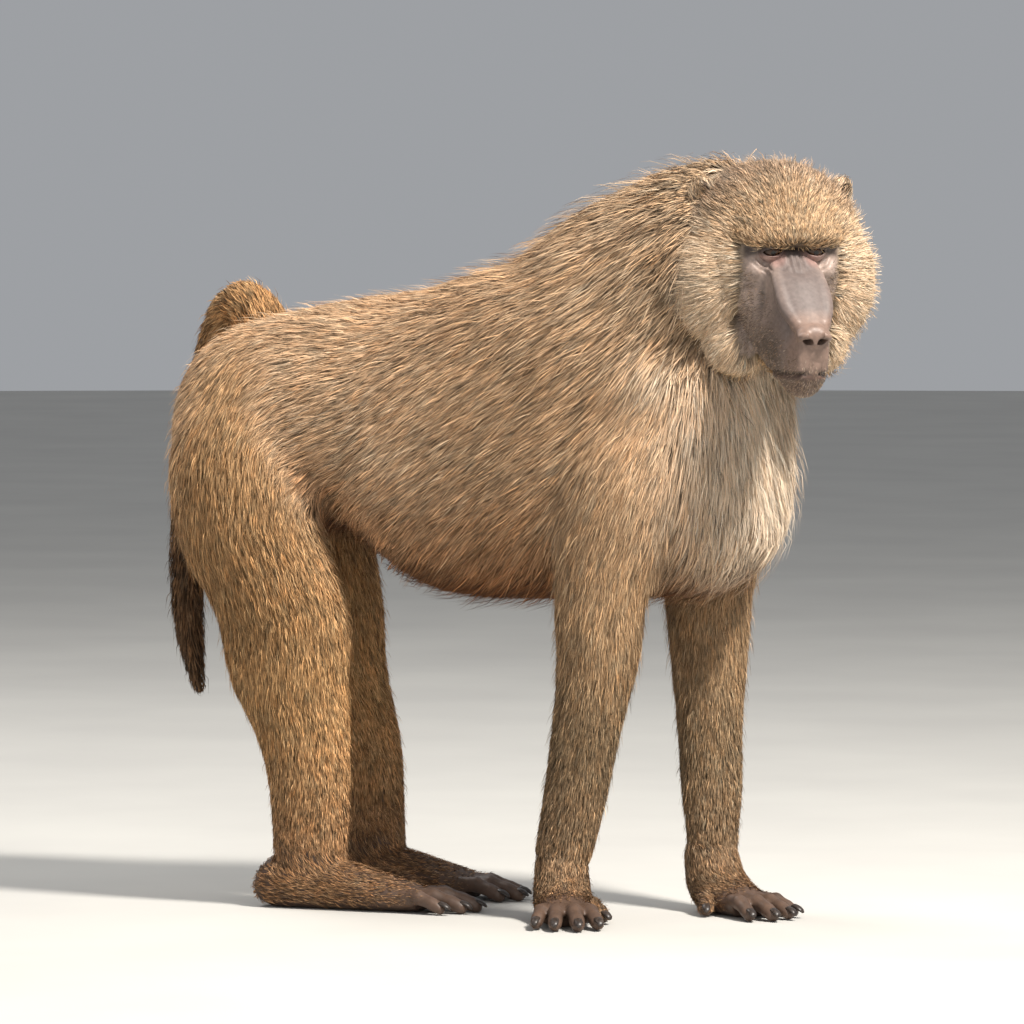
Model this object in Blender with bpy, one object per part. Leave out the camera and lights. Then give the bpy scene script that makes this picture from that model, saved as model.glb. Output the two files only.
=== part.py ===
"""An adult male olive baboon on all fours with its head turned to its right, as a still life-size model.

Metres, +Z up. The animal faces +X, its right side is -Y, and hands and feet stand on small flats at Z = 0.
The trunk, neck and limbs are lofted, fused into one body and parted by thin cuts. The head, hands, feet,
ears, eyes and tail are made apart and meet the body face to face. Long coat is built as flat tapered locks.
"""

import math
import random

import bmesh
import bpy
from mathutils import Matrix, Vector
from mathutils.bvhtree import BVHTree

# Driving dimensions of the animal, over the lie of its coat.
BODY_FUSE = 0.009
HEAD_FUSE = 0.0042
GAP = 0.0003
CLEARANCE = 0.0002
LOCK_CLEARANCE = 0.0006
FLOOR = 0.0

# The head's own frame starts between the eyes, with x along the level gaze and z up.
HEAD_PLACE = Vector((0.378, -0.091, 0.665))
HEAD_YAW = math.radians(-49)
HEAD_PITCH = math.radians(15)

# Trunk: place along the body, height of the back, height of the belly, half width.
TRUNK = [
    (-0.326, 0.505, 0.425, 0.042),
    (-0.304, 0.553, 0.392, 0.078),
    (-0.262, 0.583, 0.372, 0.102),
    (-0.204, 0.596, 0.372, 0.110),
    (-0.149, 0.607, 0.380, 0.108),
    (-0.105, 0.613, 0.354, 0.108),
    (-0.060, 0.618, 0.323, 0.112),
    (0.000, 0.631, 0.311, 0.118),
    (0.080, 0.652, 0.310, 0.124),
    (0.150, 0.668, 0.314, 0.126),
    (0.210, 0.660, 0.316, 0.122),
    (0.262, 0.622, 0.322, 0.111),
    (0.296, 0.588, 0.338, 0.092),
    (0.322, 0.545, 0.368, 0.062),
]
# Neck: centre, half height across the line of the neck, half width.
NECK = [
    ((0.130, 0.000, 0.520), 0.147, 0.106),
    ((0.180, 0.000, 0.569), 0.139, 0.106),
    ((0.228, -0.004, 0.608), 0.127, 0.099),
    ((0.268, -0.014, 0.635), 0.114, 0.092),
    ((0.305, -0.030, 0.655), 0.098, 0.084),
]
# Limbs: centre, half size fore and aft, half size across.
RIGHT_ARM = [
    ((0.222, -0.070, 0.510), 0.060, 0.046),
    ((0.205, -0.088, 0.450), 0.064, 0.050),
    ((0.187, -0.094, 0.385), 0.057, 0.047),
    ((0.173, -0.090, 0.320), 0.048, 0.043),
    ((0.169, -0.086, 0.265), 0.044, 0.039),
    ((0.162, -0.085, 0.224), 0.0385, 0.036),
    ((0.154, -0.084, 0.183), 0.0355, 0.033),
    ((0.144, -0.083, 0.130), 0.0335, 0.030),
    ((0.135, -0.082, 0.090), 0.0315, 0.027),
    ((0.126, -0.081, 0.055), 0.0300, 0.025),
]
LEFT_ARM = [
    ((0.240, 0.070, 0.510), 0.060, 0.046),
    ((0.228, 0.088, 0.450), 0.064, 0.050),
    ((0.217, 0.092, 0.385), 0.056, 0.047),
    ((0.211, 0.088, 0.320), 0.047, 0.042),
    ((0.213, 0.085, 0.265), 0.042, 0.038),
    ((0.215, 0.081, 0.210), 0.0365, 0.035),
    ((0.219, 0.075, 0.163), 0.0335, 0.031),
    ((0.224, 0.067, 0.120), 0.0325, 0.029),
    ((0.227, 0.062, 0.085), 0.0285, 0.026),
    ((0.228, 0.060, 0.055), 0.0265, 0.024),
]
RIGHT_LEG = [
    ((-0.228, -0.055, 0.510), 0.066, 0.046),
    ((-0.231, -0.078, 0.450), 0.076, 0.052),
    ((-0.219, -0.085, 0.388), 0.079, 0.050),
    ((-0.197, -0.085, 0.341), 0.072, 0.047),
    ((-0.180, -0.084, 0.300), 0.071, 0.046),
    ((-0.174, -0.083, 0.268), 0.072, 0.044),
    ((-0.171, -0.082, 0.233), 0.066, 0.042),
    ((-0.161, -0.081, 0.195), 0.055, 0.037),
    ((-0.153, -0.079, 0.145), 0.047, 0.032),
    ((-0.151, -0.078, 0.100), 0.044, 0.029),
    ((-0.151, -0.077, 0.050), 0.040, 0.027),
]
LEFT_LEG = [
    ((-0.228, 0.055, 0.510), 0.066, 0.046),
    ((-0.234, 0.078, 0.450), 0.076, 0.052),
    ((-0.238, 0.085, 0.388), 0.076, 0.050),
    ((-0.228, 0.085, 0.341), 0.070, 0.047),
    ((-0.218, 0.084, 0.300), 0.067, 0.046),
    ((-0.214, 0.083, 0.268), 0.067, 0.044),
    ((-0.206, 0.082, 0.233), 0.062, 0.042),
    ((-0.190, 0.081, 0.195), 0.053, 0.037),
    ((-0.171, 0.079, 0.145), 0.046, 0.032),
    ((-0.165, 0.078, 0.100), 0.043, 0.029),
    ((-0.160, 0.077, 0.050), 0.040, 0.027),
]
# Tail: centre and half thickness. It rises from the rump, breaks over and hangs behind it.
TAIL = [
    ((-0.232, 0.004, 0.552), 0.032),
    ((-0.250, 0.008, 0.584), 0.029),
    ((-0.272, 0.016, 0.600), 0.026),
    ((-0.296, 0.026, 0.588), 0.023),
    ((-0.318, 0.038, 0.550), 0.021),
    ((-0.337, 0.048, 0.500), 0.0205),
    ((-0.352, 0.053, 0.440), 0.0195),
    ((-0.357, 0.054, 0.370), 0.0195),
    ((-0.357, 0.053, 0.310), 0.0190),
    ((-0.353, 0.052, 0.262), 0.0165),
    ((-0.345, 0.050, 0.222), 0.0110),
    ((-0.341, 0.049, 0.206), 0.0035),
]
TAIL_CUTS = (4, 8)

# Head core, under the ruff: place along x, top, bottom, half width.
HEAD = [
    (-0.132, 0.036, -0.060, 0.054),
    (-0.110, 0.056, -0.085, 0.077),
    (-0.080, 0.063, -0.098, 0.086),
    (-0.050, 0.060, -0.101, 0.085),
    (-0.022, 0.044, -0.097, 0.068),
    (-0.002, 0.022, -0.088, 0.050),
]
# Bare face and jaws: place along x, top, bottom, half width.
FACE = [
    (-0.045, -0.010, -0.104, 0.048),
    (-0.015, 0.002, -0.110, 0.041),
    (0.012, -0.008, -0.115, 0.0315),
    (0.040, -0.024, -0.120, 0.0270),
    (0.066, -0.039, -0.122, 0.0240),
    (0.085, -0.050, -0.114, 0.0200),
    (0.096, -0.058, -0.098, 0.0140),
]
EYE_PLACE = Vector((-0.003, 0.0215, -0.0025))
EYE_RADIUS = 0.0105
LID_RADIUS = 0.0127
EYE_OPENING = (0.0200, 0.0092, 0.0043)
NOSTRIL_PLACE = Vector((0.0975, 0.0068, -0.0655))
MOUTH_FRONT = Vector((0.086, 0.0, -0.094))
MOUTH_CORNER = Vector((0.014, 0.0, -0.1105))
MUZZLE_CUT = 0.018
EAR_PLACE = Vector((-0.084, 0.070, 0.030))
EAR_SIZES = (0.007, 0.015, 0.019)
EAR_HOLLOW = (0.0065, 0.0105, 0.0135)
EAR_TURN = math.radians(28)
EAR_LEAN = math.radians(-14)

# Hands and feet, each from the floor below its wrist or ankle, x along the middle digit.
WRIST_CUT = 0.066
ANKLE_CUT = 0.060
HAND_PLACES = {
    "right": (Vector((0.127, -0.081, 0.0)), math.radians(-62)),
    "left": (Vector((0.228, 0.060, 0.0)), math.radians(-33)),
}
FOOT_PLACES = {
    "right": (Vector((-0.151, -0.077, 0.0)), math.radians(4)),
    "left": (Vector((-0.160, 0.077, 0.0)), math.radians(-2)),
}
# Palm: place, height, half width and half height of each section.
PALM = [
    (-0.006, 0.085, 0.024, 0.027),
    (-0.002, 0.055, 0.025, 0.028),
    (0.008, 0.028, 0.026, 0.030),
    (0.036, 0.0165, 0.027, 0.0190),
    (0.062, 0.0120, 0.027, 0.0145),
    (0.074, 0.0092, 0.025, 0.0110),
]
SOLE = [
    (-0.056, 0.022, 0.014, 0.014),
    (-0.040, 0.024, 0.022, 0.024),
    (-0.010, 0.026, 0.026, 0.029),
    (0.030, 0.023, 0.027, 0.026),
    (0.072, 0.018, 0.030, 0.020),
    (0.108, 0.014, 0.031, 0.0145),
    (0.122, 0.012, 0.029, 0.0110),
]
ANKLE = [
    (-0.002, 0.090, 0.027, 0.040),
    (0.000, 0.050, 0.027, 0.039),
    (0.004, 0.026, 0.024, 0.034),
]
# Digits: root place along and across, angle in degrees, length, half thickness, across to the outer side.
FINGERS = [
    (0.018, -0.022, -30, 0.036, 0.0078),
    (0.064, -0.019, -12, 0.052, 0.0080),
    (0.067, -0.006, -3, 0.060, 0.0084),
    (0.065, 0.008, 6, 0.056, 0.0080),
    (0.060, 0.020, 15, 0.045, 0.0074),
]
TOES = [
    (0.040, -0.024, -32, 0.066, 0.0100),
    (0.112, -0.021, -8, 0.056, 0.0084),
    (0.116, -0.007, -2, 0.064, 0.0088),
    (0.113, 0.008, 4, 0.059, 0.0084),
    (0.106, 0.022, 10, 0.050, 0.0078),
]

# Where the fused body is parted: heights, places along the body, or a point on the plane and the way out.
ELBOW_CUT = 0.285
KNEE_CUT = 0.268
HEAD_CUT = (Vector((0.275, -0.010, 0.630)), Vector((0.80, -0.45, 0.39)))
NECK_CUT = (Vector((0.200, 0.000, 0.560)), Vector((0.60, 0.00, 0.80)))
CHEST_CUT = 0.030
LOIN_CUT = -0.130
SEAT_PAD = (Vector((-0.320, 0.019, 0.430)), (0.013, 0.021, 0.024))

# Locks of the long coat: share of the length, of the width and of the thickness, and height over the core.
LOCK_SECTIONS = [
    (0.00, 0.80, 1.00, -0.0068),
    (0.32, 1.00, 1.00, 0.0012),
    (0.66, 0.82, 0.75, 0.0058),
    (1.00, 0.12, 0.18, 0.0090),
]
LOCK_REACH = 0.030
# Rows: place along the axis from 0 to 1, first and last angle from the top, count, length, width,
# thickness, how far it flares, and how far the lie turns down at the sides.
NECK_AXIS = (Vector((0.120, 0.000, 0.545)), Vector((0.262, -0.010, 0.612)))
NECK_ROWS = [
    (0.90, -100, 100, 7, 0.084, 0.054, 0.0095, 1.0, 0.55),
    (0.56, -96, 96, 6, 0.084, 0.060, 0.0095, 1.1, 0.60),
    (0.22, -72, 72, 5, 0.084, 0.062, 0.0095, 1.1, 0.60),
]
HEAD_AXIS = (Vector((-0.110, 0.000, -0.020)), Vector((-0.010, 0.000, -0.020)))
HEAD_ROWS = [
    (0.30, 66, 158, 4, 0.056, 0.042, 0.0085, 1.7, 0.35),
    (0.30, -158, -66, 4, 0.056, 0.042, 0.0085, 1.7, 0.35),
    (0.62, 72, 140, 3, 0.054, 0.036, 0.0080, 1.3, 0.35),
    (0.62, -140, -72, 3, 0.054, 0.036, 0.0080, 1.3, 0.35),
    (0.52, -24, 24, 3, 0.056, 0.034, 0.0075, 0.9, 0.00),
]
CHEST_AXIS = (Vector((0.180, 0.000, 0.370)), Vector((0.180, 0.000, 0.490)))
CHEST_ROWS = [
    (0.80, -48, 48, 4, 0.096, 0.046, 0.0095, 1.2, 0.0),
    (0.20, -34, 34, 3, 0.088, 0.044, 0.0095, 1.6, 0.0),
]
BELLY_AXIS = (Vector((-0.105, 0.000, 0.430)), Vector((0.015, 0.000, 0.430)))
BELLY_ROWS = [
    (0.88, 152, 208, 3, 0.060, 0.046, 0.0085, 1.2, 0.0),
    (0.44, 150, 210, 3, 0.060, 0.046, 0.0085, 1.2, 0.0),
]
TUFT = [(0.034, 0), (0.024, 120), (0.014, 240)]
SEED = 14

COLOURS = {
    "coat": ((0.330, 0.235, 0.145), 0.85),
    "ruff": ((0.450, 0.330, 0.200), 0.85),
    "limb_coat": ((0.210, 0.145, 0.092), 0.85),
    "tail_coat": ((0.120, 0.082, 0.055), 0.85),
    "face_skin": ((0.250, 0.195, 0.180), 0.60),
    "hand_skin": ((0.090, 0.068, 0.058), 0.65),
    "eye": ((0.110, 0.055, 0.020), 0.15),
}


def clear_scene():
    """Removes what the scene starts with."""
    for obj in list(bpy.data.objects):
        bpy.data.objects.remove(obj, do_unlink=True)


def material(name):
    """The named finish as a Principled material, made once."""
    found = bpy.data.materials.get(name)
    if found:
        return found
    colour, roughness = COLOURS[name]
    made = bpy.data.materials.new(name)
    made.use_nodes = True
    shader = made.node_tree.nodes["Principled BSDF"]
    shader.inputs["Base Color"].default_value = (*colour, 1.0)
    shader.inputs["Roughness"].default_value = roughness
    shader.inputs["Metallic"].default_value = 0.0
    return made


def object_of(name, bm, finish=None):
    """A bmesh as an object of the scene, its faces turned outwards."""
    bmesh.ops.recalc_face_normals(bm, faces=bm.faces)
    mesh = bpy.data.meshes.new(name)
    bm.to_mesh(mesh)
    bm.free()
    obj = bpy.data.objects.new(name, mesh)
    bpy.context.scene.collection.objects.link(obj)
    if finish:
        mesh.materials.append(material(finish))
    return obj


def discard(*objects):
    """Removes helpers once they have done their work."""
    for obj in objects:
        bpy.data.objects.remove(obj, do_unlink=True)


def settle(obj):
    """Applies the object's modifiers and its place to its mesh."""
    graph = bpy.context.evaluated_depsgraph_get()
    graph.update()
    mesh = bpy.data.meshes.new_from_object(obj.evaluated_get(graph))
    mesh.transform(obj.matrix_world)
    obj.modifiers.clear()
    obj.data = mesh
    obj.matrix_world = Matrix.Identity(4)
    return obj


def eased(stations, steps):
    """Stations and the smooth steps between them, along a Catmull-Rom curve through every value."""
    flat = []
    for station in stations:
        parts = [part if isinstance(part, tuple) else (part,) for part in station]
        flat.append([float(v) for part in parts for v in part])
    ends = [flat[0]] + flat + [flat[-1]]
    made = []
    for i in range(1, len(ends) - 2):
        before, here, there, after = ends[i - 1 : i + 3]
        for k in range(steps):
            t = k / steps
            row = []
            for a, b, c, d in zip(before, here, there, after):
                square = (2 * a - 5 * b + 4 * c - d) * t**2
                cube = (3 * b - a - 3 * c + d) * t**3
                row.append(0.5 * (2 * b + (c - a) * t + square + cube))
            made.append(row)
    return made + [flat[-1]]


def section(centre, along, across, half_up, half_across):
    """The matrix that lays a unit ring round centre, square to along."""
    along = along.normalized()
    across = (across - along * across.dot(along)).normalized()
    up = along.cross(across)
    turn = Matrix((across, up, along)).transposed().to_4x4()
    size = Matrix.Diagonal((half_across, half_up, 1.0, 1.0))
    return Matrix.Translation(centre) @ turn @ size


def tube(rings, sides, fullness=2.0):
    """A closed loft: a cap is extruded from section to section. Fullness over 2 squares the ring."""
    bm = bmesh.new()
    bmesh.ops.create_circle(bm, cap_ends=True, segments=sides, radius=1.0)
    for v in bm.verts:
        for axis in (0, 1):
            value = v.co[axis]
            v.co[axis] = math.copysign(abs(value) ** (2.0 / fullness), value)
    bm.transform(rings[0])
    cap = list(bm.faces)[0]
    for last, ring in zip(rings, rings[1:]):
        made = bmesh.ops.extrude_face_region(bm, geom=[cap])["geom"]
        if cap.is_valid and ring is not rings[1]:
            bmesh.ops.delete(bm, geom=[cap], context="FACES_ONLY")
        cap = [g for g in made if isinstance(g, bmesh.types.BMFace)][0]
        bmesh.ops.transform(bm, matrix=ring @ last.inverted(), verts=cap.verts[:])
    return bm


def limb(name, stations, sides=20, steps=3, across=Vector((0, 1, 0))):
    """A loft along a bent line of centres, each with its two half sizes."""
    values = eased(stations, steps)
    centres = [Vector(v[:3]) for v in values]
    rings = []
    for i, v in enumerate(values):
        along = centres[min(i + 1, len(centres) - 1)] - centres[max(i - 1, 0)]
        rings.append(section(centres[i], along, across, v[3], v[4 if len(v) > 4 else 3]))
    return object_of(name, tube(rings, sides))


def barrel(name, stations, sides=28, steps=3, fullness=2.25):
    """A loft of upright sections along x, each with its top, bottom and half width."""
    rings = []
    for x, top, bottom, half in eased(stations, steps):
        centre = Vector((x, 0, (top + bottom) / 2))
        rings.append(section(centre, Vector((1, 0, 0)), Vector((0, 1, 0)), (top - bottom) / 2, half))
    return object_of(name, tube(rings, sides, fullness))


def ball(name, centre, sizes, turn=Matrix.Identity(4), rings=10, segments=16):
    """An ellipsoid."""
    bm = bmesh.new()
    place = Matrix.Translation(centre) @ turn @ Matrix.Diagonal((*sizes, 1.0))
    bmesh.ops.create_uvsphere(bm, u_segments=segments, v_segments=rings, radius=1.0, matrix=place)
    return object_of(name, bm)


def fused(name, pieces, voxel, rounds, triangles):
    """Pieces melted into one smooth skin of about that many triangles."""
    bm = bmesh.new()
    for piece in pieces:
        bm.from_mesh(piece.data)
    whole = object_of(name, bm)
    discard(*pieces)
    remesh = whole.modifiers.new("Remesh", "REMESH")
    remesh.mode = "VOXEL"
    remesh.voxel_size = voxel
    smooth = whole.modifiers.new("Smooth", "SMOOTH")
    smooth.factor = 0.5
    smooth.iterations = rounds
    settle(whole)
    thin = whole.modifiers.new("Decimate", "DECIMATE")
    thin.ratio = triangles / (2 * len(whole.data.polygons))
    settle(whole)
    return whole


def combine(obj, others, operation, solver="EXACT"):
    """One Boolean between obj and a collection of closed meshes, applied, with the others then removed."""
    group = bpy.data.collections.new("group")
    for other in others:
        group.objects.link(other)
    step = obj.modifiers.new("Boolean", "BOOLEAN")
    step.operation = operation
    step.solver = solver
    step.operand_type = "COLLECTION"
    step.collection = group
    settle(obj)
    bpy.data.collections.remove(group)
    discard(*others)
    return largest(obj)


def largest(obj):
    """Keeps the largest closed surface of a mesh, as triangles."""
    bm = bmesh.new()
    bm.from_mesh(obj.data)
    bmesh.ops.triangulate(bm, faces=bm.faces)
    seen, shells = set(), []
    for start in bm.verts:
        if start in seen:
            continue
        seen.add(start)
        shell, edge = [start], [start]
        while edge:
            v = edge.pop()
            for e in v.link_edges:
                other = e.other_vert(v)
                if other not in seen:
                    seen.add(other)
                    shell.append(other)
                    edge.append(other)
        shells.append(shell)
    sizes = []
    for shell in shells:
        spans = [max(v.co[i] for v in shell) - min(v.co[i] for v in shell) for i in range(3)]
        sizes.append(Vector(spans).length)
    keep = set(shells[sizes.index(max(sizes))])
    bmesh.ops.delete(bm, geom=[v for v in bm.verts if v not in keep], context="VERTS")
    bm.to_mesh(obj.data)
    bm.free()
    return obj


def grown(obj, by):
    """A copy of a closed mesh with its surface moved out."""
    bm = bmesh.new()
    bm.from_mesh(obj.data)
    bm.normal_update()
    shift = {v: v.normal * by * min(v.calc_shell_factor(), 3.0) for v in bm.verts}
    for v, move in shift.items():
        v.co += move
    return object_of(obj.name + "_grown", bm)


def cell(planes, shift):
    """A convex block bounded by planes, each a point and the way out, all moved out by shift."""
    bm = bmesh.new()
    bmesh.ops.create_cube(bm, size=4.0)
    for point, out in planes:
        out = Vector(out).normalized()
        whole = bm.verts[:] + bm.edges[:] + bm.faces[:]
        place = Vector(point) + out * shift
        cut = bmesh.ops.bisect_plane(bm, geom=whole, plane_co=place, plane_no=out, clear_outer=True)["geom_cut"]
        bmesh.ops.contextual_create(bm, geom=[g for g in cut if isinstance(g, bmesh.types.BMEdge)])
    return object_of("cell", bm)


def copied(obj, name):
    """A copy of an object with its own mesh."""
    twin = bpy.data.objects.new(name, obj.data.copy())
    bpy.context.scene.collection.objects.link(twin)
    return twin


def parted(body, name, planes, finish):
    """Takes the piece inside the planes out of the body, and leaves a thin gap between them."""
    piece = combine(copied(body, name), [cell(planes, -GAP / 2)], "INTERSECT")
    combine(body, [cell(planes, GAP / 2)], "DIFFERENCE")
    dress(piece, finish)
    return piece


def dress(obj, finish):
    """Gives a piece its finish and smooth shading."""
    obj.data.materials.clear()
    obj.data.materials.append(material(finish))
    obj.data.shade_smooth()
    return obj


def head_frame():
    """The head's place, turned to the right and tipped down."""
    turn = Matrix.Rotation(HEAD_YAW, 4, "Z") @ Matrix.Rotation(HEAD_PITCH, 4, "Y")
    return Matrix.Translation(HEAD_PLACE) @ turn


def skull_lofts():
    """The covered head and the bare face as two lofts, in place."""
    pieces = [barrel("cranium", HEAD, fullness=2.1), barrel("face", FACE, sides=24, fullness=2.5)]
    for piece in pieces:
        piece.data.transform(head_frame())
    return pieces


def make_body():
    """The trunk, neck and limbs as one fused body, cut off at the head."""
    pieces = [
        barrel("trunk", TRUNK),
        limb("neck_loft", NECK, sides=24),
        limb("right_arm", RIGHT_ARM),
        limb("left_arm", LEFT_ARM),
        limb("right_leg", RIGHT_LEG),
        limb("left_leg", LEFT_LEG),
    ]
    body = fused("body", pieces + skull_lofts(), BODY_FUSE, 6, 3500)
    whole = copied(body, "whole_body")
    point, out = HEAD_CUT
    return combine(body, [cell([(point, out)], -GAP / 2)], "INTERSECT"), whole


def add_locks(skin, head, neck, chest, abdomen, tail, arms):
    """Grows the locks of ruff, mane, chest, belly and tail, trimmed clear of the neighbours."""
    near_chest = [grown(arm, CLEARANCE) for arm in arms]
    near_neck = [grown(obj, CLEARANCE) for obj in [head, chest] + arms]
    near_neck += row_locks(head, skin, LOCK_CLEARANCE) + row_locks(chest, skin, LOCK_CLEARANCE)
    for obj in (head, neck, chest, abdomen):
        combine(obj, row_locks(obj, skin), "UNION", "MANIFOLD")
    combine(tail, tuft_locks(), "UNION", "MANIFOLD")
    combine(chest, near_chest, "DIFFERENCE", "MANIFOLD")
    combine(neck, near_neck, "DIFFERENCE", "MANIFOLD")


def make_trunk(body):
    """The neck, chest, abdomen and pelvis, parted from what the limbs leave of the body."""
    neck = parted(body, "neck", [(NECK_CUT[0], -NECK_CUT[1])], "ruff")
    chest = parted(body, "chest", [((CHEST_CUT, 0, 0), (-1, 0, 0))], "coat")
    abdomen = parted(body, "abdomen", [((LOIN_CUT, 0, 0), (-1, 0, 0))], "coat")
    body.name = "pelvis"
    return [neck, chest, abdomen, dress(body, "coat")]


def arm_planes(side, x):
    """Planes round one arm below the shoulder blade; side is -1 on the right."""
    return [
        ((x, side * 0.045, 0.31), (0, -side * 0.965, 0.263)),
        ((x - 0.075, 0, 0.40), (-0.97, 0, 0.20)),
        ((x + 0.085, 0, 0.40), (0.97, 0, 0.20)),
        ((x, 0, 0.54), (0, 0, 1)),
    ]


def leg_planes(side, x):
    """Planes round one leg below the hip."""
    return [
        ((x, side * 0.022, 0.37), (0, -side * 0.95, 0.30)),
        ((x + 0.105, 0, 0.40), (0.94, 0, 0.34)),
        ((x, 0, 0.53), (0, 0, 1)),
    ]


def lock(path, width, thick, flare, spare=0.0):
    """A flat tapered lock along a path, its root sunk and its tip lifted, all larger by spare."""
    lifts = [lift * (flare if lift > 0 else 1) for t, wide, high, lift in LOCK_SECTIONS]
    points = [point + out * lift for (point, out), lift in zip(path, lifts)]
    points[0] -= (points[1] - points[0]).normalized() * spare
    points[3] += (points[3] - points[2]).normalized() * spare
    rings = []
    for i, (t, wide, high, lift) in enumerate(LOCK_SECTIONS):
        along = points[min(i + 1, 3)] - points[max(i - 1, 0)]
        across = path[i][1].cross(along)
        rings.append(section(points[i], along, across, thick * high / 2 + spare, width * wide / 2 + spare))
    bm = tube(rings, 4)
    bmesh.ops.triangulate(bm, faces=bm.faces, quad_method="FIXED")
    return object_of("lock", bm)


def laid(tree, root, out, lie, length):
    """A path over the core along the lie, each point with the way out there, or None off an edge."""
    path = [(root, out)]
    for here, there in zip(LOCK_SECTIONS, LOCK_SECTIONS[1:]):
        lie = (lie - out * lie.dot(out)).normalized()
        ahead = path[-1][0] + lie * length * (there[0] - here[0])
        hit, normal = tree.ray_cast(ahead + out * LOCK_REACH, -out)[:2]
        if hit is None or (hit - ahead).length > LOCK_REACH:
            return None
        out = (out + normal).normalized()
        path.append((hit, out))
    return path


def tree_of(*objects):
    """A search tree over the surfaces of several meshes."""
    bm = bmesh.new()
    for obj in objects:
        bm.from_mesh(obj.data)
    tree = BVHTree.FromBMesh(bm)
    bm.free()
    return tree


def row_locks(obj, skin, spare=0.0):
    """A piece's locks in rows round an axis, rooted where a ray from it comes out, larger by spare."""
    own = tree_of(obj)
    (start, end), rows, back, down, top = lock_plan(obj.name)
    along = (end - start).normalized()
    top = (top - along * top.dot(along)).normalized()
    side = top.cross(along)
    draw = random.Random(SEED)
    made = []
    for place, first, last, count, length, width, thick, flare, droop in rows:
        for k in range(count):
            angle = math.radians(first + (last - first) * (k + draw.uniform(-0.12, 0.12)) / (count - 1))
            ray = top * math.cos(angle) + side * math.sin(angle)
            hit, out = own.ray_cast(start.lerp(end, place + draw.uniform(-0.05, 0.05)), ray)[:2]
            stretch, spread = draw.uniform(0.9, 1.12), draw.uniform(0.9, 1.1)
            if hit is None:
                continue
            out = out if out.dot(ray) > 0 else -out
            lie = back + down * droop * abs(math.sin(angle))
            path = laid(skin, hit, out, lie, length * stretch)
            if path:
                made.append(lock(path, width * spread, thick, flare, spare))
    return made


def lock_plan(name):
    """Where a piece's locks stand: axis, rows, the lie, its turn downwards and the first angle's way."""
    ahead, up = Vector((1, 0, 0)), Vector((0, 0, 1))
    if name == "head":
        turn = head_frame()
        axis = [turn @ end for end in HEAD_AXIS]
        facing, crown = turn.to_3x3() @ ahead, turn.to_3x3() @ up
        return axis, HEAD_ROWS, -facing, -crown, crown
    if name == "neck":
        return NECK_AXIS, NECK_ROWS, (NECK_AXIS[0] - NECK_AXIS[1]).normalized(), -up, up
    if name == "chest":
        return CHEST_AXIS, CHEST_ROWS, -up, -up, ahead
    return BELLY_AXIS, BELLY_ROWS, -ahead, -up, up


def tuft_locks():
    """The tail's end as a few locks that run past its tip."""
    made = []
    tip, before = Vector(TAIL[-1][0]), Vector(TAIL[-4][0])
    lie = (tip - before).normalized()
    for back, turn in TUFT:
        out = Matrix.Rotation(math.radians(turn), 3, lie) @ lie.orthogonal().normalized()
        path = [(before + lie * (back + 0.050 * t) + out * 0.006 * (1 - t), out) for t, *_ in LOCK_SECTIONS]
        made.append(lock(path, 0.020, 0.0080, 0.0))
    return made


def make_limbs(body):
    """Upper and lower limbs, parted from the body at elbow, knee, wrist and ankle."""
    made = []
    for side, label, arm, leg in ((-1, "right", 0.185, -0.225), (1, "left", 0.215, -0.235)):
        planes = arm_planes(side, arm)
        whole = parted(body, "forearm_" + label, planes, "limb_coat")
        made.append(parted(whole, "upper_arm_" + label, [((0, 0, ELBOW_CUT), (0, 0, -1))], "coat"))
        made.append(trimmed(whole, WRIST_CUT))
        planes = leg_planes(side, leg)
        whole = parted(body, "shank_" + label, planes, "limb_coat")
        made.append(parted(whole, "thigh_" + label, [((0, 0, KNEE_CUT), (0, 0, -1))], "coat"))
        made.append(trimmed(whole, ANKLE_CUT))
    return made


def trimmed(obj, height):
    """Cuts a limb off square at that height above the floor, half a gap above the hand or foot."""
    return combine(obj, [cell([((0, 0, height), (0, 0, -1))], -GAP / 2)], "INTERSECT")


def digit(place, root, across, angle, length, half, side):
    """A finger or toe that arches from its knuckle to a tip on the floor, with its nail."""
    turn = math.radians(angle) * side
    ahead = Vector((math.cos(turn), math.sin(turn), 0))
    base = Vector((root, across * side, 0))
    line = [
        (base - ahead * 0.012, 0.014, 1.00),
        (base + ahead * length * 0.38, 0.017, 0.98),
        (base + ahead * length * 0.72, 0.011, 0.92),
        (base + ahead * length * 0.93, 0.0065, 0.84),
        (base + ahead * length, 0.0062, 0.45),
    ]
    level = Vector((-ahead.y, ahead.x, 0))
    rings = []
    for i, (point, height, share) in enumerate(line):
        centre = Vector((point.x, point.y, height))
        along = ahead
        rings.append(place @ section(centre, along, level, half * share, half * share))
    flesh = object_of("digit", tube(rings, 5))
    tip = base + ahead * length * 0.90 + Vector((0, 0, 0.0105))
    nail = [
        (tip, 0.0042, 0.0022),
        (tip + ahead * 0.010 - Vector((0, 0, 0.0030)), 0.0040, 0.0020),
        (tip + ahead * 0.017 - Vector((0, 0, 0.0072)), 0.0018, 0.0010),
    ]
    rings = [place @ section(c, ahead - Vector((0, 0, 0.3)), level, up, wide) for c, wide, up in nail]
    return [flesh, object_of("nail", tube(rings, 4))]


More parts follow.
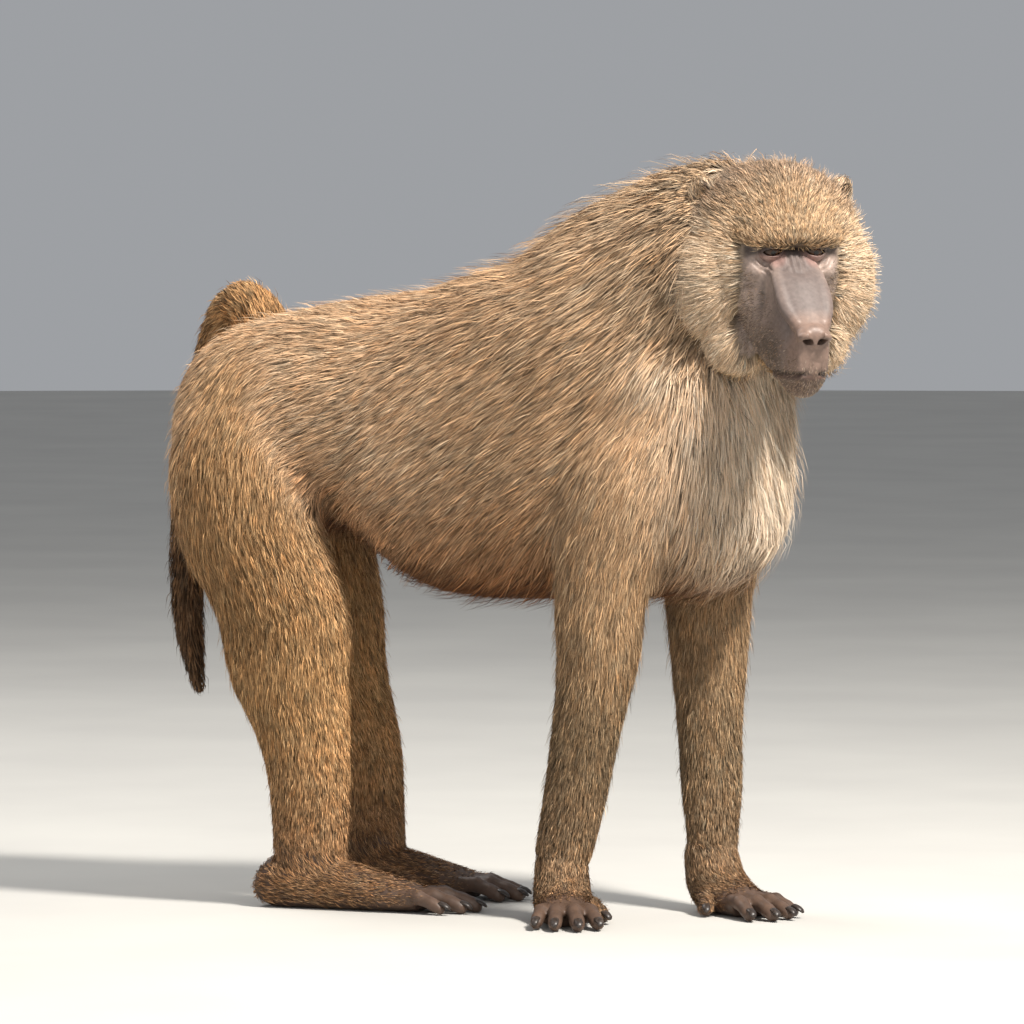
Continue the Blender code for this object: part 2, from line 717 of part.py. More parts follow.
def extremity(name, place, turn, side, lofts, digits, height):
    """A hand or foot: its lofts and digits fused, flat on the floor and square at the joint above."""
    frame = Matrix.Translation(place) @ Matrix.Rotation(turn, 4, "Z")
    pieces = []
    for stations, upright in lofts:
        values = eased(stations, 1)
        rings = []
        for i, (x, z, wide, high) in enumerate(values):
            after, before = values[min(i + 1, len(values) - 1)], values[max(i - 1, 0)]
            along = Vector((after[0] - before[0], 0, after[1] - before[1]))
            if not upright:
                along = Vector((1, 0, 0))
            rings.append(frame @ section(Vector((x, 0, z)), along, Vector((0, 1, 0)), high, wide))
        pieces.append(object_of("pad", tube(rings, 12)))
    for values in digits:
        pieces += digit(frame, *values, side)
    whole = combine(pieces[0], pieces[1:], "UNION")
    whole.name = name
    box = cell([((0, 0, height - GAP / 2), (0, 0, 1)), ((0, 0, FLOOR), (0, 0, -1))], 0.0)
    return dress(combine(whole, [box], "INTERSECT"), "hand_skin")


def make_extremities():
    """Two hands and two feet."""
    made = []
    for label, side in (("right", -1), ("left", 1)):
        place, turn = HAND_PLACES[label]
        made.append(extremity("hand_" + label, place, turn, side, [(PALM, True)], FINGERS, WRIST_CUT))
        place, turn = FOOT_PLACES[label]
        tables = [(SOLE, False), (ANKLE, True)]
        made.append(extremity("foot_" + label, place, turn, side, tables, TOES, ANKLE_CUT))
    return made


def make_head():
    """The head, muzzle and jaw, cut from one fused head behind the eyes and along the mouth line."""
    brow = [
        ((-0.018, -0.050, 0.001), 0.0075),
        ((0.001, -0.033, 0.0095), 0.0090),
        ((0.0055, -0.012, 0.0110), 0.0090),
    ]
    brow += [((x, -y, z), r) for (x, y, z), r in reversed(brow)]
    pieces = [limb("brow", brow, sides=12, across=Vector((0, 0, 1)))]
    for side in (-1, 1):
        ridge = [
            ((0.002, side * 0.0195, -0.015), 0.0080),
            ((0.030, side * 0.0185, -0.0265), 0.0080),
            ((0.060, side * 0.0160, -0.0425), 0.0075),
            ((0.084, side * 0.0105, -0.0570), 0.0070),
        ]
        pieces.append(limb("ridge", ridge, sides=10))
        pieces.append(ball("cheekbone", (-0.010, side * 0.035, -0.024), (0.016, 0.013, 0.015)))
        pieces.append(ball("ruff", (-0.052, side * 0.060, -0.052), (0.040, 0.040, 0.060)))
    pieces.append(ball("nose", (0.0905, 0, -0.0600), (0.0100, 0.0160, 0.0095)))
    pieces.append(ball("upper_lip", (0.079, 0, -0.0840), (0.0140, 0.0185, 0.0115)))
    pieces.append(ball("chin", (0.066, 0, -0.1100), (0.0150, 0.0155, 0.0120)))
    for piece in pieces:
        piece.data.transform(head_frame())
    head = fused("head", pieces + skull_lofts() + [limb("neck_loft", NECK, sides=24)], HEAD_FUSE, 3, 2100)
    whole = copied(head, "whole_head")
    point, out = HEAD_CUT
    combine(head, [cell([(point, -out)], -GAP / 2)], "INTERSECT")
    head.data.transform(head_frame().inverted())
    lids, openings, hollows = [], [], []
    for side in (-1, 1):
        eye = Vector((EYE_PLACE.x, EYE_PLACE.y * side, EYE_PLACE.z))
        lids.append(ball("lid", eye, (LID_RADIUS,) * 3, rings=8, segments=14))
        openings.append(ball("opening", eye + Vector((0.010, 0, 0)), EYE_OPENING, rings=8, segments=16))
        hollows.append(ball("socket", eye, (EYE_RADIUS + GAP,) * 3, rings=10, segments=16))
        nostril = Vector((NOSTRIL_PLACE.x, NOSTRIL_PLACE.y * side, NOSTRIL_PLACE.z))
        turn = Matrix.Rotation(math.radians(20 * side), 4, "X")
        openings.append(ball("nostril", nostril, (0.0080, 0.0030, 0.0022), turn, 6, 8))
    combine(head, lids, "UNION")
    combine(head, openings, "DIFFERENCE")
    combine(head, hollows, "DIFFERENCE")
    rise = Vector((MOUTH_CORNER.z - MOUTH_FRONT.z, 0, MOUTH_FRONT.x - MOUTH_CORNER.x))
    jaw = parted(head, "jaw", [(MOUTH_CORNER, rise), (MOUTH_CORNER, (-1, 0, 0))], "face_skin")
    muzzle = parted(head, "muzzle", [((MUZZLE_CUT, 0, 0), (-1, 0, 0))], "face_skin")
    return [dress(head, "ruff"), muzzle, jaw], whole


def make_ears(head):
    """Two cupped ears set into the head, which is hollowed a little wider round them."""
    made, sockets = [], []
    place = head_frame()
    for side, label in ((-1, "right"), (1, "left")):
        turn = Matrix.Rotation(EAR_TURN * side, 4, "Z") @ Matrix.Rotation(EAR_LEAN * side, 4, "X")
        centre = Vector((EAR_PLACE.x, EAR_PLACE.y * side, EAR_PLACE.z))
        ear = ball("ear_" + label, centre, EAR_SIZES, turn, 9, 12)
        inner = centre + turn @ Vector((0.0065, 0.001 * side, 0.0015))
        hollow = ball("hollow", inner, EAR_HOLLOW, turn, 7, 10)
        combine(ear, [hollow], "DIFFERENCE")
        sockets.append(ball("socket", centre, tuple(size + GAP for size in EAR_SIZES), turn, 9, 12))
        made.append(dress(ear, "hand_skin"))
    for obj in made + sockets:
        obj.data.transform(place)
    combine(head, sockets, "DIFFERENCE", "MANIFOLD")
    return made


def make_eyes():
    """Two eyeballs, seen through the lids."""
    made = []
    for side, label in ((-1, "right"), (1, "left")):
        eye = Vector((EYE_PLACE.x, EYE_PLACE.y * side, EYE_PLACE.z))
        made.append(dress(ball("eye_" + label, eye, (EYE_RADIUS,) * 3, rings=8, segments=12), "eye"))
    return made


def make_tail(pelvis):
    """The tail in three lengths, its root cut to the rump."""
    tail = limb("tail_tip", TAIL, sides=9, steps=2)
    combine(tail, [grown(pelvis, GAP)], "DIFFERENCE")
    made = []
    for label, cut in zip(("tail_root", "tail_middle"), TAIL_CUTS):
        here, there = Vector(TAIL[cut][0]), Vector(TAIL[cut + 1][0])
        ahead = there - Vector(TAIL[cut - 1][0])
        made.append(parted(tail, label, [(here, ahead)], "tail_coat"))
    return made + [dress(tail, "tail_coat")]


def make_seat(pelvis):
    """The pair of bare seat pads, joined across the middle and set into the rump."""
    pads, sockets = [], []
    place, sizes = SEAT_PAD
    for side in (-1, 1):
        centre = Vector((place.x, place.y * side, place.z))
        pads.append(ball("pad", centre, sizes, rings=8, segments=12))
        sockets.append(ball("socket", centre, tuple(size + GAP for size in sizes), rings=8, segments=12))
    seat = combine(pads[0], pads[1:], "UNION")
    seat.name = "seat_pads"
    combine(pelvis, sockets, "DIFFERENCE")
    return dress(seat, "hand_skin")


def make_centre():
    """Moves everything so that the middle of its outline stands on the origin."""
    parts = [obj for obj in bpy.context.scene.objects if obj.type == "MESH"]
    points = [v.co for obj in parts for v in obj.data.vertices]
    middle = [(min(p[i] for p in points) + max(p[i] for p in points)) / 2 for i in (0, 1)]
    shift = Matrix.Translation((-middle[0], -middle[1], 0))
    for obj in parts:
        obj.data.transform(shift)


def main():
    clear_scene()
    body, whole_body = make_body()
    limbs = make_limbs(body)
    neck, chest, abdomen, pelvis = make_trunk(body)
    make_extremities()
    (head, muzzle, jaw), whole_head = make_head()
    in_head = [head, muzzle, jaw] + make_eyes()
    for obj in in_head + [whole_head]:
        obj.data.transform(head_frame())
    tail = make_tail(pelvis)[-1]
    arms = [obj for obj in limbs if obj.name.startswith("upper_arm")]
    add_locks(tree_of(whole_body, whole_head), head, neck, chest, abdomen, tail, arms)
    discard(whole_body, whole_head)
    make_ears(head)
    make_seat(pelvis)
    make_centre()


main()
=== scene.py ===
"""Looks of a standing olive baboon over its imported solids: bare skin, eyes, nails and a coat of tufts."""

import math

import bmesh
import bpy
import numpy as np
from mathutils import Matrix, Vector
from mathutils.bvhtree import BVHTree
from mathutils.kdtree import KDTree


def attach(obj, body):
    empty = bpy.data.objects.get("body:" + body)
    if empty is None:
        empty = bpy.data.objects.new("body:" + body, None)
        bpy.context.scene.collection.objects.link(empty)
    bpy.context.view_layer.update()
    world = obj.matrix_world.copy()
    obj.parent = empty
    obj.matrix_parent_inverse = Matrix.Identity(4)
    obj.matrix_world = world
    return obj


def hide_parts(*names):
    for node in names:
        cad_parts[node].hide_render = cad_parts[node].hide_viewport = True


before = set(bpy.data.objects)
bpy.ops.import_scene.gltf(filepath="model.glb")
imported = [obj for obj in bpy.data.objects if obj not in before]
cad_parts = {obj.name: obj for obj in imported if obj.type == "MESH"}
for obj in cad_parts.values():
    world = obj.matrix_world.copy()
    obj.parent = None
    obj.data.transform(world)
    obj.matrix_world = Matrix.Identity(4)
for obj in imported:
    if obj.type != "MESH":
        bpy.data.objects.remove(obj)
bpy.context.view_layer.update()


# The view: a long lens a little above the animal's back, three quarters from its right front.
# The floor is pale and plain, and the light is a soft overcast sky with a broad warm sun.
MIDDLE = Vector((0.03107832, -0.03312718, 0.0))
VIEW_AZIMUTH = math.radians(25)
VIEW_HEIGHT = math.radians(3)
VIEW_DISTANCE = 8.0
VIEW_SPAN = 1.024
VIEW_SHIFT = 0.032
VIEW_CENTRE = 0.396
FILM = 36.0
LIT_SPOT = Vector((0.0, 0.0, 0.42))
FLOOR_RADIUS = 14.0


def added(name, data):
    """A new object of the scene round that data."""
    obj = bpy.data.objects.new(name, data)
    bpy.context.scene.collection.objects.link(obj)
    return obj


def mesh_of(name, bm):
    """A bmesh as mesh data."""
    mesh = bpy.data.meshes.new(name)
    bm.to_mesh(mesh)
    bm.free()
    return mesh


def look_at(obj, target):
    """Turns an object so that its -Z axis points at the target."""
    obj.rotation_mode = "QUATERNION"
    obj.rotation_quaternion = (target - obj.location).to_track_quat("-Z", "Y")


def area_light(name, place, size, power, colour):
    """A square soft light aimed at the animal's shoulder."""
    data = bpy.data.lights.new(name, "AREA")
    data.size = size
    data.energy = power
    data.color = colour
    obj = added(name, data)
    obj.location = place
    look_at(obj, LIT_SPOT)


east, north = math.sin(VIEW_AZIMUTH), math.cos(VIEW_AZIMUTH)
target = Vector((VIEW_SHIFT * north, VIEW_SHIFT * east, VIEW_CENTRE)) - MIDDLE
level = math.cos(VIEW_HEIGHT)
towards_camera = Vector((east * level, -north * level, math.sin(VIEW_HEIGHT)))
camera = added("camera", bpy.data.cameras.new("camera"))
camera.location = target + towards_camera * VIEW_DISTANCE
camera.data.sensor_width = FILM
camera.data.lens = FILM * VIEW_DISTANCE / VIEW_SPAN
camera.data.clip_end = 60.0
look_at(camera, target)
bpy.context.scene.camera = camera

area_light("sun_side", (2.1, -0.75, 3.1), 0.5, 255.0, (1.0, 0.95, 0.88))
area_light("sky_front", (1.3, -3.3, 1.9), 2.4, 28.0, (1.0, 0.99, 0.97))
area_light("sky_back", (-2.2, 0.9, 3.2), 1.6, 72.0, (1.0, 0.98, 0.95))
world = bpy.data.worlds.new("sky")
world.use_nodes = True
world.node_tree.nodes["Background"].inputs["Color"].default_value = (0.92, 0.95, 1.0, 1.0)
world.node_tree.nodes["Background"].inputs["Strength"].default_value = 0.37
bpy.context.scene.world = world
bpy.context.scene.view_settings.view_transform = "Standard"


class Value:
    """A shader socket that takes part in Python expressions, each of which adds a Math node."""

    def __init__(self, tree, socket):
        self.tree = tree
        self.socket = socket

    def maths(self, operation, first, second):
        return add_node(self.tree, "ShaderNodeMath", {"operation": operation}, {0: first, 1: second})

    def __add__(self, other):
        return self.maths("ADD", self, other)

    def __mul__(self, other):
        return self.maths("MULTIPLY", self, other)

    def __rsub__(self, other):
        return self.maths("SUBTRACT", other, self)


def add_node(tree, kind, settings, values, output=0):
    """A node of that type with its settings first, then its sockets' values or links; gives one output."""
    node = tree.nodes.new(kind)
    for key, value in settings.items():
        if key == "stops":
            for element, (place, colour) in zip(node.color_ramp.elements, value):
                element.position = place
                element.color = (*colour, 1.0)
        else:
            setattr(node, key, value)
    for key, value in values.items():
        if isinstance(value, Value):
            tree.links.new(value.socket, node.inputs[key])
        else:
            node.inputs[key].default_value = value
    return Value(tree, node.outputs[output])


def new_material(name, roughness, specular):
    """An empty Principled material; gives it with its tree and shader."""
    material = bpy.data.materials.new(name)
    material.use_nodes = True
    shader = material.node_tree.nodes["Principled BSDF"]
    shader.inputs["Roughness"].default_value = roughness
    shader.inputs["Specular IOR Level"].default_value = specular
    return material, material.node_tree, shader


def noise(tree, scale, detail):
    """A noise over the object's own places, with that scale and detail."""
    place = add_node(tree, "ShaderNodeTexCoord", {}, {}, "Object")
    values = {"Vector": place, "Scale": scale, "Detail": detail}
    return add_node(tree, "ShaderNodeTexNoise", {}, values, "Fac")


def floor_material():
    """Pale smooth studio floor with a faint mottle."""
    material, tree, shader = new_material("pale_floor", 0.85, 0.2)
    mottle = noise(tree, 3.0, 4.0)
    stops = [(0.35, (0.5, 0.49, 0.465)), (0.7, (0.54, 0.53, 0.5))]
    tint = add_node(tree, "ShaderNodeValToRGB", {"stops": stops}, {"Fac": mottle})
    tree.links.new(tint.socket, shader.inputs["Base Color"])
    return material


floor_mesh = bmesh.new()
bmesh.ops.create_circle(floor_mesh, cap_ends=True, segments=96, radius=FLOOR_RADIUS)
floor = added("floor", mesh_of("floor", floor_mesh))
floor.data.materials.append(floor_material())


# The skin: trunk, neck and limbs are lofted under the coat's depth and melted into one body.
# Bare grey-black skin shows on the face, ears, palms, soles and seat. All else lies under hair.
# The trunk's rows give x, top, bottom and half width. The others give a centre and its two half sizes.
TRUNK = [
    (-0.326, 0.505, 0.425, 0.042),
    (-0.304, 0.553, 0.392, 0.078),
    (-0.262, 0.583, 0.372, 0.102),
    (-0.204, 0.596, 0.372, 0.11),
    (-0.149, 0.607, 0.38, 0.108),
    (-0.105, 0.613, 0.354, 0.108),
    (-0.06, 0.618, 0.323, 0.112),
    (0.0, 0.631, 0.311, 0.118),
    (0.08, 0.652, 0.31, 0.124),
    (0.15, 0.668, 0.314, 0.126),
    (0.21, 0.66, 0.316, 0.122),
    (0.262, 0.622, 0.322, 0.111),
    (0.296, 0.588, 0.338, 0.092),
    (0.322, 0.545, 0.368, 0.062),
]
NECK = [
    ((0.13, 0.0, 0.52), 0.147, 0.106),
    ((0.18, 0.0, 0.569), 0.139, 0.106),
    ((0.228, -0.004, 0.608), 0.127, 0.099),
    ((0.268, -0.014, 0.635), 0.114, 0.092),
    ((0.305, -0.03, 0.655), 0.098, 0.084),
    ((0.338, -0.05, 0.66), 0.052, 0.046),
    ((0.35, -0.058, 0.662), 0.02, 0.018),
]
RIGHT_ARM = [
    ((0.222, -0.07, 0.51), 0.06, 0.046),
    ((0.205, -0.088, 0.45), 0.064, 0.05),
    ((0.187, -0.094, 0.385), 0.057, 0.047),
    ((0.173, -0.09, 0.32), 0.048, 0.043),
    ((0.169, -0.086, 0.265), 0.044, 0.039),
    ((0.162, -0.085, 0.224), 0.0385, 0.036),
    ((0.154, -0.084, 0.183), 0.0355, 0.033),
    ((0.144, -0.083, 0.13), 0.0335, 0.03),
    ((0.135, -0.082, 0.09), 0.0315, 0.027),
    ((0.126, -0.081, 0.055), 0.03, 0.025),
]
LEFT_ARM = [
    ((0.24, 0.07, 0.51), 0.06, 0.046),
    ((0.228, 0.088, 0.45), 0.064, 0.05),
    ((0.217, 0.092, 0.385), 0.056, 0.047),
    ((0.211, 0.088, 0.32), 0.047, 0.042),
    ((0.213, 0.085, 0.265), 0.042, 0.038),
    ((0.215, 0.081, 0.21), 0.0365, 0.035),
    ((0.219, 0.075, 0.163), 0.0335, 0.031),
    ((0.224, 0.067, 0.12), 0.0325, 0.029),
    ((0.227, 0.062, 0.085), 0.0285, 0.026),
    ((0.228, 0.06, 0.055), 0.0265, 0.024),
]
RIGHT_LEG = [
    ((-0.228, -0.055, 0.51), 0.066, 0.046),
    ((-0.231, -0.078, 0.45), 0.076, 0.052),
    ((-0.219, -0.085, 0.388), 0.079, 0.05),
    ((-0.197, -0.085, 0.341), 0.072, 0.047),
    ((-0.18, -0.084, 0.3), 0.071, 0.046),
    ((-0.174, -0.083, 0.268), 0.072, 0.044),
    ((-0.171, -0.082, 0.233), 0.066, 0.042),
    ((-0.161, -0.081, 0.195), 0.055, 0.037),
    ((-0.153, -0.079, 0.145), 0.047, 0.032),
    ((-0.151, -0.078, 0.1), 0.044, 0.029),
    ((-0.151, -0.077, 0.05), 0.04, 0.027),
]
LEFT_LEG = [
    ((-0.228, 0.055, 0.51), 0.066, 0.046),
    ((-0.234, 0.078, 0.45), 0.076, 0.052),
    ((-0.238, 0.085, 0.388), 0.076, 0.05),
    ((-0.228, 0.085, 0.341), 0.07, 0.047),
    ((-0.218, 0.084, 0.3), 0.067, 0.046),
    ((-0.214, 0.083, 0.268), 0.067, 0.044),
    ((-0.206, 0.082, 0.233), 0.062, 0.042),
    ((-0.19, 0.081, 0.195), 0.053, 0.037),
    ((-0.171, 0.079, 0.145), 0.046, 0.032),
    ((-0.165, 0.078, 0.1), 0.043, 0.029),
    ((-0.16, 0.077, 0.05), 0.04, 0.027),
]
TAIL = [
    ((-0.232, 0.004, 0.552), 0.032),
    ((-0.25, 0.008, 0.584), 0.029),
    ((-0.272, 0.016, 0.6), 0.026),
    ((-0.296, 0.026, 0.588), 0.023),
    ((-0.318, 0.038, 0.55), 0.021),
    ((-0.337, 0.048, 0.5), 0.0205),
    ((-0.352, 0.053, 0.44), 0.0195),
    ((-0.357, 0.054, 0.37), 0.0195),
    ((-0.357, 0.053, 0.31), 0.019),
    ((-0.353, 0.052, 0.262), 0.0165),
    ((-0.345, 0.05, 0.222), 0.011),
    ((-0.341, 0.049, 0.206), 0.005),
]
BODY_FUSE = 0.0056
BODY_KEEP = 0.75
TAIL_COAT = 0.007
MANE_RISE = 0.0085
THINNEST_COAT = 0.002
LOFT_STEPS = 4
SORTING = Vector((1.0, 0.377, 0.1393))


def object_of(name, bm):
    """A bmesh as an object, its faces turned outwards and in the same order in every run."""
    bmesh.ops.recalc_face_normals(bm, faces=bm.faces)
    bm.verts.sort(key=lambda v: v.co.dot(SORTING))
    bm.faces.sort(key=lambda f: f.calc_center_median().dot(SORTING))
    return added(name, mesh_of(name, bm))


def discard(*objects):
    """Removes helpers."""
    for obj in objects:
        bpy.data.objects.remove(obj, do_unlink=True)


def settle(obj):
    """Applies the object's modifiers to its mesh."""
    graph = bpy.context.evaluated_depsgraph_get()
    graph.update()
    mesh = bpy.data.meshes.new_from_object(obj.evaluated_get(graph))
    obj.modifiers.clear()
    obj.data = mesh
    return obj


def eased(stations, steps):
    """Stations and the steps between them along a Catmull-Rom curve."""
    flat = []
    for station in stations:
        parts = [part if isinstance(part, tuple) else (part,) for part in station]
        flat.append([float(value) for part in parts for value in part])
    ends = [flat[0]] + flat + [flat[-1]]
    made = []
    for i in range(1, len(ends) - 2):
        before, here, there, after = ends[i - 1 : i + 3]
        for k in range(steps):
            t = k / steps
            row = []
            for a, b, c, d in zip(before, here, there, after):
                curve = (2 * a - 5 * b + 4 * c - d) * t**2 + (3 * b - a - 3 * c + d) * t**3
                row.append(0.5 * (2 * b + (c - a) * t + curve))
            made.append(row)
    return made + [flat[-1]]


def section(centre, along, across, half_up, half_across):
    """The matrix that lays a unit ring round centre, square to along."""
    along = along.normalized()
    across = (across - along * across.dot(along)).normalized()
    turn = Matrix((across, along.cross(across), along)).transposed().to_4x4()
    return Matrix.Translation(centre) @ turn @ Matrix.Diagonal((half_across, half_up, 1.0, 1.0))


def tube(rings, sides, fullness=2.0):
    """A closed loft: the cap of a ring is extruded from each section to the next."""
    bm = bmesh.new()
    bmesh.ops.create_circle(bm, cap_ends=True, segments=sides, radius=1.0)
    for v in bm.verts:
        for axis in (0, 1):
            value = v.co[axis]
            v.co[axis] = math.copysign(abs(value) ** (2.0 / fullness), value)
    bm.transform(rings[0])
    cap = list(bm.faces)[0]
    for last, ring in zip(rings, rings[1:]):
        made = bmesh.ops.extrude_face_region(bm, geom=[cap])["geom"]
        if last is not rings[0]:
            bmesh.ops.delete(bm, geom=[cap], context="FACES_ONLY")
        cap = [g for g in made if isinstance(g, bmesh.types.BMFace)][0]
        bmesh.ops.transform(bm, matrix=ring @ last.inverted(), verts=cap.verts[:])
    return bm


def limb(name, stations, sides=24, steps=LOFT_STEPS, across=Vector((0, 1, 0)), less=0.0):
    """A loft along a bent line of centres, each with its two half sizes, all less the coat."""
    values = eased(stations, steps)
    centres = [Vector(v[:3]) for v in values]
    rings = []
    for i, v in enumerate(values):
        along = centres[min(i + 1, len(centres) - 1)] - centres[max(i - 1, 0)]
        wide = v[4] if len(v) > 4 else v[3]
        halves = max(v[3] - less, THINNEST_COAT), max(wide - less, THINNEST_COAT)
        rings.append(section(centres[i], along, across, *halves))
    return object_of(name, tube(rings, sides))


def barrel(name, stations, sides=32, fullness=2.25):
    """A loft of upright sections along x, each with its top, bottom and half width."""
    rings = []
    for x, top, bottom, half in eased(stations, LOFT_STEPS):
        centre = Vector((x, 0, (top + bottom) / 2))
        rings.append(section(centre, Vector((1, 0, 0)), Vector((0, 1, 0)), (top - bottom) / 2, half))
    return object_of(name, tube(rings, sides, fullness))


def ball(name, centre, sizes, turn=Matrix.Identity(4), rings=14, segments=24):
    """An ellipsoid."""
    bm = bmesh.new()
    place = Matrix.Translation(centre) @ turn @ Matrix.Diagonal((*sizes, 1.0))
    bmesh.ops.create_uvsphere(bm, u_segments=segments, v_segments=rings, radius=1.0, matrix=place)
    return object_of(name, bm)


def fused(name, pieces, voxel, rounds, keep):
    """Pieces melted into one smooth closed skin, of which a share of the faces is kept."""
    bm = bmesh.new()
    for piece in pieces:
        bm.from_mesh(piece.data)
    whole = object_of(name, bm)
    discard(*pieces)
    remesh = whole.modifiers.new("Remesh", "REMESH")
    remesh.mode = "VOXEL"
    remesh.voxel_size = voxel
    smooth = whole.modifiers.new("Smooth", "SMOOTH")
    smooth.factor = 0.5
    smooth.iterations = rounds
    thin = whole.modifiers.new("Decimate", "DECIMATE")
    thin.ratio = keep
    return settle(whole)


def points_of(obj, kind="co"):
    """A mesh's vertices as an array."""
    flat = np.empty(len(obj.data.vertices) * 3)
    obj.data.vertices.foreach_get(kind, flat)
    return flat.reshape(-1, 3)


def normals_of(obj):
    """A mesh's vertex normals as an array."""
    return points_of(obj, "normal")


def place_points(obj, points):
    """Moves a mesh's vertices to the points of an array."""
    obj.data.vertices.foreach_set("co", points.ravel())
    obj.data.update()


def ramp(value, low, high):
    """Smooth step of an array from 0 at low to 1 at high."""
    t = np.clip((value - low) / (high - low), 0.0, 1.0)
    return t * t * (3 - 2 * t)


def ripple(points, wave, seed):
    """A smooth made-up unevenness of about -1 to 1 over points, with that wavelength."""
    draw = np.random.default_rng(seed)
    total = np.zeros(len(points))
    for _ in range(7):
        turn = draw.normal(size=3)
        turn *= 2 * math.pi / wave / np.linalg.norm(turn) * draw.uniform(0.6, 1.5)
        total += np.sin(points @ turn + draw.uniform(0, 6.3))
    return total / 3.2


def paint(red, green, blue):
    """A linear colour from its 0 to 255 screen values."""
    screen = [c / 255 for c in (red, green, blue)]
    return np.array([((c + 0.055) / 1.055) ** 2.4 if c > 0.04 else c / 12.92 for c in screen])


# The courses of the coat: lines through the body that the hair follows from each station to the next.
# Each station gives place, the body's radius, hair length, coat depth and the colour of the hair.
BACK = paint(190, 159, 127)
MANE = paint(166, 140, 112)
FLANK = paint(172, 142, 111)
RUMP = paint(226, 190, 152)
HIP = paint(172, 136, 96)
THIGH = paint(158, 123, 84)
SHIN = paint(184, 145, 100)
ANKLE_HAIR = paint(158, 122, 88)
UPPER_ARM = paint(158, 130, 99)
FOREARM = paint(124, 103, 78)
WRIST_HAIR = paint(144, 118, 91)
# Painted sunlit sheen: the pale colour given to the hair on the chest's front.
CHEST_SHEEN = paint(232, 212, 188)
# Rust-brown hair of the underside, darkened as painted shade under the belly.
BELLY_IN_SHADE = paint(94, 58, 31)
GROIN = paint(150, 108, 72)
TAIL_HAIR = paint(98, 75, 54)
TAIL_ROOT = paint(165, 128, 88)
PAW = paint(86, 67, 55)
PAW_HAIR = paint(144, 112, 83)


def limb_course(stations, hair):
    """A limb's course from its loft's stations and the hair at its upper, middle and lower end."""
    course = []
    for i, (centre, half, across) in enumerate(stations):
        share = i / (len(stations) - 1) * (len(hair) - 1)
        k = min(int(share), len(hair) - 2)
        t = share - k
        length, depth, colour = [a * (1 - t) + b * t for a, b in zip(hair[k], hair[k + 1])]
        course.append((centre, (half + across) / 2, length, depth, colour))
    return course


ARM_HAIR = [
    (0.044, 0.0105, FLANK),
    (0.032, 0.008, UPPER_ARM),
    (0.022, 0.006, FOREARM),
    (0.01, 0.003, WRIST_HAIR),
]
LEG_HAIR = [
    (0.032, 0.0085, HIP),
    (0.027, 0.0075, THIGH),
    (0.021, 0.006, SHIN),
    (0.013, 0.004, ANKLE_HAIR),
]
COURSES = {
    "trunk": [
        ((0.23, 0.0, 0.49), 0.13, 0.044, 0.0115, FLANK),
        ((0.08, 0.0, 0.483), 0.15, 0.04, 0.011, FLANK),
        ((-0.05, 0.0, 0.47), 0.13, 0.036, 0.01, BACK),
        ((-0.15, 0.0, 0.495), 0.11, 0.034, 0.0095, BACK),
        ((-0.26, 0.0, 0.48), 0.105, 0.03, 0.0085, RUMP),
        ((-0.325, 0.0, 0.465), 0.06, 0.026, 0.008, RUMP),
    ],
    "neck": [
        ((0.33, -0.045, 0.655), 0.085, 0.034, 0.012, MANE),
        ((0.268, -0.014, 0.625), 0.098, 0.05, 0.017, MANE),
        ((0.2, 0.0, 0.585), 0.115, 0.064, 0.017, MANE),
        ((0.11, 0.0, 0.555), 0.12, 0.058, 0.015, FLANK),
    ],
    "right_arm": limb_course(RIGHT_ARM, ARM_HAIR),
    "left_arm": limb_course(LEFT_ARM, ARM_HAIR),
    "right_leg": limb_course(RIGHT_LEG, LEG_HAIR),
    "left_leg": limb_course(LEFT_LEG, LEG_HAIR),
}
COURSE_SHARPNESS = 7.0
FAR_OFF = 1e9


def along_line(points, stations, radii, values):
    """For each point: how many radii it is from a bent line, the line's way there, and the values there."""
    centres = np.array([s[0] for s in stations]) - np.array(MIDDLE)
    best = np.full(len(points), FAR_OFF)
    found = np.zeros((len(points), 3 + values.shape[1]))
    for i in range(len(stations) - 1):
        line = centres[i + 1] - centres[i]
        t = np.clip((points - centres[i]) @ line / (line @ line), 0, 1)
        gap = np.linalg.norm(points - centres[i] - t[:, None] * line, axis=1)
        near = gap / (radii[i] * (1 - t) + radii[i + 1] * t)
        here = near < best
        best = np.where(here, near, best)
        row = values[i] * (1 - t[:, None]) + values[i + 1] * t[:, None]
        way = np.broadcast_to(line / np.linalg.norm(line), (len(points), 3))
        found = np.where(here[:, None], np.hstack([way, row]), found)
    return best, found


def follow(points):
    """The coat's lie, length, depth and colour at each point, blended from the courses, and their weights."""
    nearness, parts = [], []
    for course in COURSES.values():
        values = np.array([[s[2], s[3], *s[4]] for s in course])
        best, found = along_line(points, course, [s[1] for s in course], values)
        nearness.append(best)
        parts.append(found)
    weight = np.array(nearness) ** -COURSE_SHARPNESS
    weight /= weight.sum(axis=0)
    total = sum(w[:, None] * part for w, part in zip(weight, parts))
    return total[:, :3], total[:, 3], total[:, 4], total[:, 5:8], weight


def unit(vectors):
    """Each row at length 1."""
    return vectors / np.maximum(np.linalg.norm(vectors, axis=1), 1e-9)[:, None]


def blend(first, second, share):
    """From one colour to another by a share for each point."""
    return first * (1 - share[:, None]) + second * share[:, None]


